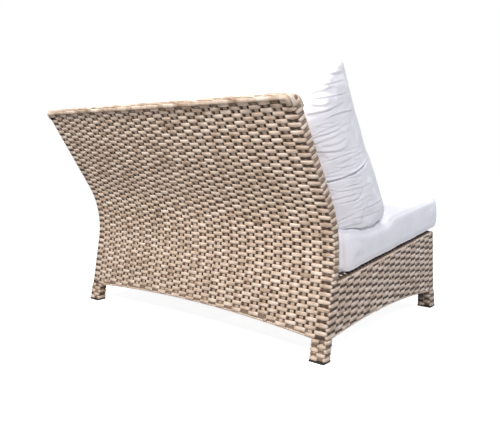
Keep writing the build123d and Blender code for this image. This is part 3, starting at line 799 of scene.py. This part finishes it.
def bind_edges():
    """Strands wound along the arches and the top of the aprons."""
    weave = Weave()
    steps = 60
    open_half = HALF_WIDTH - LEG_WIDTH
    ahead = np.tile([0.0, -1.0, 0.0], (steps, 1))
    upward = np.tile([0.0, 0.0, 1.0], (steps, 1))
    x = np.linspace(-open_half, open_half, steps)
    heights = arch_height(x, open_half) + 2 * MM
    rear = np.array([back_place(length_at(height)) for height in heights])
    rear_points = np.column_stack([x, rear + lean_in(-LEG_LEAN) * SKIN])
    out_rear = np.tile([0.0, *(-lean_in(-LEG_LEAN))], (steps, 1))
    up_rear = np.tile([0.0, *lean_up(-LEG_LEAN)], (steps, 1))
    weave.roll(rear_points, out_rear, up_rear)
    front_points = np.column_stack([x, front_face(heights) + SKIN, heights])
    weave.roll(front_points, ahead, upward)
    low, high = front_face(ARCH_FOOT) + FRONT_DEPTH, back_front_edge(ARCH_FOOT)
    y = np.linspace(low, high, steps)
    heights = arch_height(y - (low + high) / 2, (high - low) / 2) + 2 * MM
    top_y = np.linspace(
        front_face(SEAT_FRONT) + 6 * MM, back_front_edge(deck_rear_height) + 2 * MM, 60
    )
    for _, side in SIDES:
        place = np.full(steps, side * (HALF_WIDTH - SKIN))
        out = np.tile([side, 0.0, 0.0], (steps, 1))
        weave.roll(np.column_stack([place, y, heights]), out, upward)
        edge = deck_height(top_y) - EDGE_RADIUS - 0.5 * MM
        weave.roll(np.column_stack([place, top_y, edge]), out, upward)
    edge = np.full(steps, SEAT_FRONT - EDGE_RADIUS - 0.5 * MM)
    x = np.linspace(-HALF_WIDTH + SKIN, HALF_WIDTH - SKIN, steps)
    weave.roll(np.column_stack([x, front_face(edge) + SKIN, edge]), ahead, upward)
    weave.piece("shell_weave_binding", (
        "back_outer_weave", "front_weave", "side_weave_left", "side_weave_right",
    ))


def border_path(inset):
    """Line over the top of the back and down round both rounded corners, in x and height."""
    half, top = HALF_WIDTH - inset, BACK_TOP - inset
    radius = CORNER_RADIUS - inset
    down = 26 * MM
    points = [(-half, top - radius - down), (-half, top - radius - down / 2)]
    outs = [(-1, 0), (-1, 0)]
    for angle in np.linspace(0, math.pi / 2, 7):
        outs.append((-math.cos(angle), math.sin(angle)))
        place = (-half + radius - radius * math.cos(angle), top - radius + radius * math.sin(angle))
        points.append(place)
    number = int(2 * (half - radius) / (6 * MM))
    for share in np.linspace(0, 1, number)[1:-1]:
        points.append((-half + radius + share * 2 * (half - radius), top))
        outs.append((0, 1))
    for point, out in zip(points[:9][::-1], outs[:9][::-1]):
        points.append((-point[0], point[1]))
        outs.append((-out[0], out[1]))
    return np.array(points), np.array(outs)


def weave_border():
    """Border strands along the top of the back."""
    weave = Weave()
    slope = math.tan(math.radians(BACK_LEAN))
    top_place = back_place(back_run)
    span = BACK_DEPTH / math.cos(math.radians(BACK_LEAN))
    rows = ((-0.13, 3.0, 9 * MM), (0.06, 0.7, 0.0), (0.29, 0.1, 0.0), (0.53, 0.0, 0.0), (0.77, 0.0, 0.0))
    for row, (share, tilt, drop) in enumerate(rows):
        path, outs = border_path(SKIN + drop)
        y = top_place[0] - (BACK_TOP - path[:, 1]) * slope - share * span - 5 * MM
        points = np.column_stack([path[:, 0], y, path[:, 1]])
        facing = np.column_stack([outs[:, 0], np.full(len(outs), tilt), outs[:, 1] * (1 - tilt * 0.53)])
        phases = (path[:, 0] + HALF_WIDTH) / (2 * HALF_WIDTH) * BACK_COLUMNS
        phases = phases + 0.5 * row
        weft(weave, points, unit_rows(facing), phases, 0, 0.45, shade=0.3)
    weave.piece("back_border_weave", (
        "back_top_weave", "back_end_weave_left", "back_end_weave_right",
    ))


# Cushions

SEAT_BACK = 757.1 * MM
SEAT_HEIGHT = 150.4 * MM
SEAT_OVERHANG = 60 * MM
SEAM_INSET = 17 * MM
BACK_LOW = -264.5 * MM
BACK_HIGH = 345.5 * MM
REAR_FILL = 167 * MM
BOXING_FRONT = 282 * MM
RAMP_TILT = 8.246
SLACK_OF_COVER = 0.4 * MM
SINK = 22 * MM
PLAN_ROUND = 60 * MM
# Faces of the cloth before they are split, and the outer end where they are split once more
VOXEL = 9.8 * MM
FINE_END = 40 * MM
# Cloth pressure: its frames, and how far the cloth may slide and sink
CLOTH_FRAMES = 20
SLIDE_LIMIT = 3 * MM
SINK_LIMIT = 1.5 * MM
# Room round a zip's tape: past its ends, past its sides, below it, and behind it
CHANNEL_ENDS = 8 * MM
CHANNEL_SIDES = 4.5 * MM
CHANNEL_DEPTH = 8 * MM
CHANNEL_BEHIND = 0.8 * MM

# The top of the back's front face, and its directions out and up, in y and z
face_end = back_place(leg_run + bend_run, BACK_DEPTH)
back_out, back_up = lean_in(BACK_LEAN), lean_up(BACK_LEAN)


def vectors_of(items, field):
    """One vector of each item of a mesh, as the rows of an array."""
    values = np.empty(len(items) * 3, np.float32)
    items.foreach_get(field, values)
    return values.reshape(-1, 3).astype(float)


def vertices_of(mesh):
    """Vertex places of a mesh as an array."""
    return vectors_of(mesh.vertices, "co")


def normals_of(mesh):
    """Vertex normals of a mesh as an array."""
    return vectors_of(mesh.vertex_normals, "vector")


def set_vertices(mesh, places):
    """Move the vertices of a mesh."""
    mesh.vertices.foreach_set("co", places.astype(np.float32).ravel())
    mesh.update()


def applied(holder):
    """Mesh of a helper object with its modifiers applied. The helper is removed."""
    graph = bpy.context.evaluated_depsgraph_get()
    graph.update()
    result = bpy.data.meshes.new_from_object(holder.evaluated_get(graph))
    bpy.data.objects.remove(holder)
    return result


def finished_mesh(work, name):
    """New mesh from an edit mesh, which is freed."""
    mesh = bpy.data.meshes.new(name)
    work.to_mesh(mesh)
    work.free()
    return mesh


def cover_skin(node_name):
    """Outer surface of a cover, remeshed to even faces."""
    work = bmesh.new()
    work.from_mesh(frame["nodes"][node_name].data)
    bmesh.ops.remove_doubles(work, verts=work.verts, dist=0.02 * MM)
    work.verts.ensure_lookup_table()
    left = set(range(len(work.verts)))
    best = set()
    while left:
        reached = {left.pop()}
        front = set(reached)
        while front:
            near = {
                edge.other_vert(work.verts[spot]).index
                for spot in front for edge in work.verts[spot].link_edges
            }
            front = near - reached
            reached |= front
        left -= reached
        if not best or max(work.verts[i].co.z for i in reached) > max(work.verts[i].co.z for i in best):
            best = reached
    bmesh.ops.delete(work, geom=[v for v in work.verts if v.index not in best], context="VERTS")
    holder = in_scene("skin", finished_mesh(work, "skin"))
    remesh = holder.modifiers.new("remesh", "REMESH")
    remesh.mode = "VOXEL"
    remesh.voxel_size = VOXEL
    return applied(holder)


def in_plane(places, origin, first, second):
    """Two coordinates in the y, z plane from an origin."""
    offset = places[:, 1:] - origin
    return offset @ first, offset @ second


def seat_coordinates(places):
    """Places on a seat cushion: rearward along the deck, and up from it."""
    return in_plane(places, deck_corner, deck_back, deck_up)


def back_coordinates(places):
    """Places on a back cushion: out from the shell's face, and up along it."""
    return in_plane(places, face_end, back_out, back_up)


def inflate(mesh, seam_weights, pressure, surplus, limit):
    """Blow a cover up with air, its seams held shorter than its cloth."""
    start, facing = vertices_of(mesh), normals_of(mesh)
    holder = in_scene("inflated", mesh)
    group = holder.vertex_groups.new(name="seams")
    for spot in np.nonzero(seam_weights > 0.02)[0]:
        group.add([int(spot)], float(seam_weights[spot]), "REPLACE")
    cloth = holder.modifiers.new("cloth", "CLOTH")
    settings = cloth.settings
    settings.quality = 6
    settings.mass = 0.25
    settings.tension_stiffness = 12
    settings.compression_stiffness = 12
    settings.shear_stiffness = 4
    settings.bending_stiffness = 0.15
    settings.air_damping = 2
    settings.use_pressure = True
    settings.uniform_pressure_force = pressure
    settings.effector_weights.gravity = 0
    settings.vertex_group_shrink = "seams"
    settings.shrink_min = -surplus
    settings.shrink_max = 0.02
    cloth.collision_settings.use_collision = False
    cloth.point_cache.frame_start = 1
    cloth.point_cache.frame_end = CLOTH_FRAMES
    for moment in range(1, CLOTH_FRAMES + 1):
        bpy.context.scene.frame_set(moment)
    result = applied(holder)
    bpy.context.scene.frame_set(1)
    places = vertices_of(result)
    move = places - start
    # The cloth may slide and sink only a little, so that the cushion keeps its corners
    swell = (move * facing).sum(1)
    slide = move - facing * swell[:, None]
    length = np.linalg.norm(slide, axis=1, keepdims=True)
    slide *= np.minimum(1, SLIDE_LIMIT / np.maximum(length, 1e-9))
    move = slide + facing * np.maximum(swell, -SINK_LIMIT)[:, None]
    reach = np.linalg.norm(move, axis=1, keepdims=True)
    places = start + move * np.minimum(1, limit / np.maximum(reach, 1e-9))
    set_vertices(result, places)
    return result


def subdivided(mesh):
    """The mesh with each face split in four and smoothed."""
    holder = in_scene("fine", mesh)
    surface = holder.modifiers.new("subdivision", "SUBSURF")
    surface.levels = 1
    return applied(holder)


def soft_noise(places, scale, seed):
    """Smooth noise between -1 and 1 with bumps of about a scale in metres."""
    random = np.random.RandomState(seed)
    total = np.zeros(len(places))
    for _ in range(7):
        direction = random.normal(size=3)
        direction = direction / np.linalg.norm(direction)
        length = scale * random.uniform(0.7, 1.5)
        total += np.sin(places @ direction * 2 * math.pi / length + random.uniform(0, 6.3))
    return total / 4


def creases(along, across, rows):
    """Depth of folds: each row gives its place across, its start and end along, its slope, its bow,
    its width and its depth."""
    total = np.zeros(len(along))
    for place, start, end, slope, bow, width, depth in rows:
        share = np.clip((along - start) / (end - start), -0.5, 1.5)
        middle = place + slope * (along - start) + bow * 4 * share * (1 - share)
        window = ease(np.minimum(share + 0.15, 1.15 - share) / 0.3)
        offset = (across - middle) / width
        total += depth * window * (0.75 * np.exp(-(offset - 1.3) ** 2) - np.exp(-offset ** 2))
    return total


def seam_pull(distance, run, random, depth, pucker, reach):
    """Groove of a seam with its puckers, from the distance to the seam and the run along it."""
    groove = -depth * np.exp(-(distance / (3.6 * MM)) ** 2)
    knots = np.arange(-0.2, 6.0, 9 * MM)
    heights = np.interp(run, knots, random.normal(size=len(knots)))
    lengths = np.interp(run, knots, random.uniform(0.3, 1.3, len(knots))) * reach
    return groove + pucker * heights * np.exp(-distance / lengths)


def cut_channel(places, tape_name, facing, across):
    """Push the cloth over a zip back behind its tape."""
    tape = vertices_of(frame["nodes"][tape_name].data)
    middle = (tape.min(0) + tape.max(0)) / 2
    depth = ((tape - middle) @ facing).min()
    half_length = (tape[:, 0].max() - tape[:, 0].min()) / 2
    half_width = np.abs((tape - middle) @ across).max()
    offset = places - middle
    inside = np.abs(offset[:, 0]) < half_length + CHANNEL_ENDS
    inside &= np.abs(offset @ across) < half_width + CHANNEL_SIDES
    high = offset @ facing
    inside &= high > depth - CHANNEL_DEPTH
    places[inside] -= facing * (high[inside] - depth + CHANNEL_BEHIND)[:, None]


def finish_cushion(mesh, name, kind, side_name):
    """The cushion as a piece that stands for its cover and its filling."""
    mesh.shade_smooth()
    mesh.materials.clear()
    mesh.materials.append(cover_cloth)
    piece = in_scene(name, mesh)
    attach(piece, kind + "_cushion_" + side_name)
    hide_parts(kind + "_cushion_cover_" + side_name, kind + "_cushion_core_" + side_name)


def mirrored_mesh(mesh):
    """Copy of a mesh mirrored across x."""
    copy = mesh.copy()
    places = vertices_of(copy)
    places[:, 0] *= -1
    set_vertices(copy, places)
    copy.flip_normals()
    return copy


def fit_to_cover(places, node_name, first, second):
    """Stretch places so that they reach as far as a cover does along x and two directions."""
    cover = vertices_of(frame["nodes"][node_name].data)
    for direction in ((1.0, 0.0, 0.0), (0.0, *first), (0.0, *second)):
        direction = np.array(direction)
        now, wanted = places @ direction, cover @ direction
        stretch = (wanted.max() - wanted.min()) / (now.max() - now.min())
        places += direction * (wanted.min() + (now - now.min()) * stretch - now)[:, None]


def finer_end(mesh):
    """The mesh of a left cushion with the faces of its outer end split once more, for sharp folds."""
    work = bmesh.new()
    work.from_mesh(mesh)
    edges = [
        edge for edge in work.edges
        if max(vertex.co.x for vertex in edge.verts) < FINE_END - HALF_WIDTH
    ]
    bmesh.ops.subdivide_edges(work, edges=edges, cuts=1, use_grid_fill=True)
    return finished_mesh(work, "finer")


def seat_seams(places):
    """Distance to the nearer of the two seams of a seat cushion, and the run along it."""
    rearward, high = seat_coordinates(places)
    low, top = SEAM_INSET, SEAT_HEIGHT - SEAM_INSET
    distance = np.minimum(np.abs(high - low), np.abs(high - top))
    return distance, np.abs(places[:, 0]) + rearward + (high > SEAT_HEIGHT / 2) * 2.5


def back_seams(places):
    """Distance to the nearer of the two seams of a back cushion, and the run along it."""
    out, high = back_coordinates(places)
    distance = np.minimum(np.abs(out - REAR_FILL), np.abs(out - BOXING_FRONT))
    return distance, np.abs(places[:, 0]) + high + 0.5 + (out > REAR_FILL + 0.05) * 2.5


def make_cushions():
    """Two seat cushions and two back cushions."""
    seat = cover_skin("seat_cushion_cover_left")
    back = cover_skin("back_cushion_cover_left")
    for_seat = np.exp(-(seat_seams(vertices_of(seat))[0] / (7 * MM)) ** 2)
    seat = inflate(seat, for_seat, 2.0, 0.02, 5 * MM)
    for_back = np.exp(-(back_seams(vertices_of(back))[0] / (7 * MM)) ** 2)
    back = inflate(back, for_back, 2.5, 0.035, 7 * MM)
    seat, back = finer_end(subdivided(seat)), finer_end(subdivided(back))
    for side_name, side in SIDES:
        shape_seat(seat.copy() if side < 0 else mirrored_mesh(seat), side_name, side)
        shape_back(back.copy() if side < 0 else mirrored_mesh(back), side_name, side)


def end_sag(places):
    """How far the outer end of a back cushion sinks into the seat cushion at a place."""
    out, high = back_coordinates(places)
    outer = ease((np.abs(places[:, 0]) - HALF_WIDTH + 120 * MM) / (110 * MM))
    fore = ease((out - 40 * MM) / (130 * MM)) * ease((345 * MM - out) / (60 * MM))
    return SINK * outer * fore * ease((BACK_LOW + 130 * MM - high) / (110 * MM))


def dome_end(places, side):
    """Round the ends of a back cushion: the outer one is full along its middle, less at its edges."""
    out = back_coordinates(places)[0]
    near = ease((places[:, 0] * side - HALF_WIDTH + 90 * MM) / (80 * MM))
    reach = 4 * MM * np.clip(np.abs(out - 150 * MM) / (190 * MM), 0, 1.1) ** 2
    edge = np.clip(1 - out / (30 * MM), 0, 1) ** 2
    inner = ease((60 * MM - places[:, 0] * side) / (50 * MM))
    places[:, 0] -= side * ((reach + 12 * MM * edge) * near - 10 * MM * edge * inner)


def bow_front(places):
    """Bow the front of a back cushion: fuller at its foot and its top than between them."""
    out, high = back_coordinates(places)
    heights = np.array([BACK_LOW, -170 * MM, 20 * MM, 230 * MM, BACK_HIGH])
    bow = np.interp(high, heights, [48 * MM, 26 * MM, -2 * MM, 0.0, 12 * MM])
    places[:, 1:] += back_out * (bow * ease((out - 110 * MM) / (210 * MM)))[:, None]


def pull_corner(places, side):
    """Draw the upper front corner of a back cushion's outer end out to a point."""
    out, high = back_coordinates(places)
    off = np.hypot(np.hypot(out - 320 * MM, high - BACK_HIGH + 20 * MM), places[:, 0] * side - HALF_WIDTH)
    places[:, 1:] += (back_up * 16 * MM + back_out * 5 * MM) * ease(1 - off / (110 * MM))[:, None]


def round_corner(places, side):
    """Round the outer rear corner of a seat cushion, seen from above."""
    rearward = seat_coordinates(places)[0]
    from_end = np.maximum(PLAN_ROUND - (HALF_WIDTH - places[:, 0] * side), 0)
    from_rear = np.maximum(PLAN_ROUND - (SEAT_BACK - rearward), 0)
    reach = np.hypot(from_end, from_rear)
    share = np.minimum(1, np.maximum(from_end, from_rear) / np.maximum(reach, 1e-9))
    places[:, 0] -= side * from_end * (1 - share)
    places[:, 1:] -= deck_back * (from_rear * (1 - share))[:, None]


def square_edge(places, first, second, radius, share):
    """Make the rounded edge between two faces squarer. Each face is given by its outward direction."""
    reach = [places @ first, places @ second]
    parts = [np.maximum(way - way.max() + radius, 0) for way in reach]
    stretch = 1 + share * (np.hypot(*parts) / np.maximum(np.maximum(*parts), 1e-9) - 1)
    for direction, part in zip((first, second), parts):
        places += direction * (np.minimum(part * stretch, radius) - part)[:, None]


def square_seat(places, side):
    """Square the edges of a seat cushion's ends and front, where its seams hold the cloth."""
    end = np.array([1.0, 0.0, 0.0])
    front = -np.array([0.0, *deck_back])
    top = np.array([0.0, *deck_up])
    for face in (top, -top):
        square_edge(places, end * side, face, 24 * MM, 0.75)
        square_edge(places, front, face, 24 * MM, 0.6)
        square_edge(places, -end * side, face, 20 * MM, 0.4)
    square_edge(places, end * side, front, 34 * MM, 0.75)
    square_edge(places, -end * side, front, 24 * MM, 0.5)


def shape_seat(mesh, side_name, side):
    """Seams, soft hollows and bearing planes of a seat cushion."""
    random = np.random.RandomState(31 + side)
    places, normals = vertices_of(mesh), normals_of(mesh)
    fit_to_cover(places, "seat_cushion_cover_" + side_name, deck_back, deck_up)
    square_seat(places, side)
    distance, run = seat_seams(places)
    upright = np.clip(1.6 - 2.2 * np.abs(normals[:, 1:] @ deck_up), 0, 1)
    move = seam_pull(distance, run, random, 1.8 * MM, 0.4 * MM, 9 * MM) * (0.35 + 0.65 * upright)
    move += 1.6 * MM * soft_noise(places, 0.16, 5 + side)
    places += normals * move[:, None]
    rearward, high = seat_coordinates(places)
    near = ease((places[:, 0] * side - HALF_WIDTH + 70 * MM) / (60 * MM))
    places[:, 0] -= side * 2 * MM * np.clip(high / SEAT_HEIGHT * 2 - 1, 0, 1) ** 2 * near
    ahead = ease((-SEAT_OVERHANG + 50 * MM - rearward) / (50 * MM))
    places[:, 1:] -= deck_back * (9 * MM * ahead)[:, None]
    settle(places, side)
    high = seat_coordinates(places)[1]
    sag = end_sag(places)
    places[:, 2] -= (sag + 1 * MM * ease(sag / MM)) * ease(high / SEAT_HEIGHT)
    round_corner(places, side)
    rearward, high = seat_coordinates(places)
    places[:, 1:] += deck_up * np.maximum(SLACK_OF_COVER - high, 0)[:, None]
    places[:, 1:] -= deck_back * np.maximum(rearward - SEAT_BACK - 3 * MM, 0)[:, None]
    facing = np.array([0.0, *deck_back])
    cut_channel(places, "seat_zip_tape_" + side_name, facing, np.array([0.0, *deck_up]))
    set_vertices(mesh, places)
    finish_cushion(mesh, "seat_cushion_" + side_name, "seat", side_name)


def settle(places, side):
    """Keep a cushion on its own side of the middle and within the ends of the shell."""
    places[:, 0] = np.clip(places[:, 0] * side, 1.3 * MM, HALF_WIDTH + 6 * MM) * side


def shape_back(mesh, side_name, side):
    """Seams, folds and bearing planes of a back cushion."""
    random = np.random.RandomState(47 + side)
    places, normals = vertices_of(mesh), normals_of(mesh)
    fit_to_cover(places, "back_cushion_cover_" + side_name, back_out, back_up)
    distance, run = back_seams(places)
    edge = np.clip(1.6 - 2.2 * np.abs(normals[:, 1:] @ back_out), 0, 1)
    move = seam_pull(distance, run, random, 2.2 * MM, 1.1 * MM, 16 * MM) * (0.3 + 0.7 * edge)
    move += 2.2 * MM * soft_noise(places, 0.17, 11 + side)
    dome_end(places, side)
    out, high = back_coordinates(places)
    for face in (-1, 1):
        rows = []
        for place in np.arange(BACK_LOW + 40 * MM, BACK_HIGH + 70 * MM, 11 * MM):
            start = random.uniform(10, 120) * MM
            rows.append((
                place + random.uniform(-7, 7) * MM - 0.3 * start,
                start, start + random.uniform(50, 150) * MM,
                random.uniform(-0.5, -0.16), random.uniform(-7, 7) * MM,
                random.uniform(2.6, 6) * MM, random.uniform(0.8, 3.2) * MM,
            ))
        rows.append((35 * MM, 15 * MM, 245 * MM, -0.28, -9 * MM, 5 * MM, 6 * MM))
        weight = np.clip(face * normals[:, 0] * 1.6, 0, 1)
        move += creases(out, high, rows) * weight
    places += normals * move[:, None]
    bow_front(places)
    pull_corner(places, side)
    settle(places, side)
    out = back_coordinates(places)[0]
    places[:, 1:] += back_out * np.maximum(SLACK_OF_COVER - out, 0)[:, None]
    turn = math.radians(RAMP_TILT)
    under = np.array([0.0, -math.sin(turn), -math.cos(turn)])
    floor_of_cushion = vertices_of(frame["nodes"]["back_cushion_cover_" + side_name].data) @ under
    places -= under * np.maximum(places @ under - floor_of_cushion.max(), 0)[:, None]
    across = np.array([0.0, math.cos(turn), -math.sin(turn)])
    cut_channel(places, "back_zip_tape_" + side_name, under, across)
    places[:, 2] -= end_sag(places)
    set_vertices(mesh, places)
    finish_cushion(mesh, "back_cushion_" + side_name, "back", side_name)


def camera():
    """The photograph's camera."""
    data = bpy.data.cameras.new("camera")
    data.sensor_width = SENSOR
    data.lens = FOCAL_PIXELS / FRAME_PIXELS * SENSOR
    holder = in_scene("camera", data)
    yaw, pitch = math.radians(CAMERA_YAW), math.radians(CAMERA_PITCH)
    level = math.cos(pitch)
    ahead = Vector((math.sin(yaw) * level, math.cos(yaw) * level, math.sin(pitch)))
    roll = Matrix.Rotation(math.radians(CAMERA_ROLL), 3, "Z").to_quaternion()
    holder.rotation_mode = "QUATERNION"
    holder.rotation_quaternion = ahead.to_track_quat("-Z", "Y") @ roll
    holder.location = CAMERA_PLACE
    data.clip_start = 0.05
    data.clip_end = 60
    bpy.context.scene.camera = holder


FLOOR_SIZE = 24.0


def studio():
    """Pale floor, three soft lamps from above, a low weak one and a plain bright world."""
    scene = bpy.context.scene
    scene.view_settings.view_transform = "Standard"
    world = bpy.data.worlds.new("studio")
    scene.world = world
    world.use_nodes = True
    tree = world.node_tree
    tree.nodes.clear()
    output = tree.nodes.new("ShaderNodeOutputWorld")
    path = add_node(tree, "ShaderNodeLightPath")
    seen = path.outputs["Is Camera Ray"]
    for kind in ("Is Glossy Ray", "Is Transmission Ray"):
        larger = add_node(tree, "ShaderNodeMath", {"operation": "MAXIMUM"}, {
            0: seen, 1: path.outputs[kind],
        })
        seen = larger.outputs[0]
    light = add_node(tree, "ShaderNodeBackground", inputs={
        "Color": linear("#CCDDF6"), "Strength": 0.22,
    })
    shown = add_node(tree, "ShaderNodeBackground", inputs={"Color": (1, 1, 1, 1), "Strength": 1.0})
    mixed = add_node(tree, "ShaderNodeMixShader", inputs={
        0: seen, 1: light.outputs[0], 2: shown.outputs[0],
    })
    tree.links.new(mixed.outputs[0], output.inputs["Surface"])

    material, tree, output = new_material("floor_paint")
    matt = add_node(tree, "ShaderNodeBsdfDiffuse", inputs={"Color": linear("#E4E2E0")})
    glow = add_node(tree, "ShaderNodeEmission", inputs={"Color": (1, 1, 1, 1), "Strength": 0.91})
    path = add_node(tree, "ShaderNodeLightPath")
    plain = add_node(tree, "ShaderNodeAddShader", inputs={0: matt.outputs[0], 1: glow.outputs[0]})
    # The floor gives less light back than it shows, so that the undersides stay dark
    dim = add_node(tree, "ShaderNodeBsdfDiffuse", inputs={"Color": linear("#BEBCBA")})
    mixed = add_node(tree, "ShaderNodeMixShader", inputs={
        0: path.outputs["Is Camera Ray"], 1: dim.outputs[0], 2: plain.outputs[0],
    })
    tree.links.new(mixed.outputs[0], output.inputs["Surface"])
    mesh = bpy.data.meshes.new("floor")
    half = FLOOR_SIZE / 2
    corners = [(-half, -half, 0), (half, -half, 0), (half, half, 0), (-half, half, 0)]
    mesh.from_pydata(corners, [], [(0, 1, 2, 3)])
    mesh.materials.append(material)
    in_scene("floor", mesh)

    for name, place, size, power, colour in (
        ("key_light", (0.4, 2.8, 3.4), 0.8, 112, "#FFF8F0"),
        ("side_light", (-2.3, 2.6, 2.5), 0.7, 76, "#FBF8FF"),
        ("top_light", (-0.6, -0.4, 3.4), 1.6, 45, "#FFFFFF"),
        ("fill_light", (-1.5, -1.2, 0.7), 0.5, 4.0, "#EAF2FF"),
    ):
        data = bpy.data.lights.new(name, "AREA")
        data.size = size
        data.energy = power
        data.color = linear(colour)[:3]
        lamp = in_scene(name, data)
        lamp.location = place
        lamp.rotation_mode = "QUATERNION"
        aim = Vector((0, 0, 0.45)) - Vector(place)
        lamp.rotation_quaternion = aim.to_track_quat("-Z", "Y")
        lamp.visible_camera = False


finish_frame_nodes()
camera()
studio()
weave_shell()
weave_deck()
weave_legs()
bind_edges()
weave_border()
make_cushions()
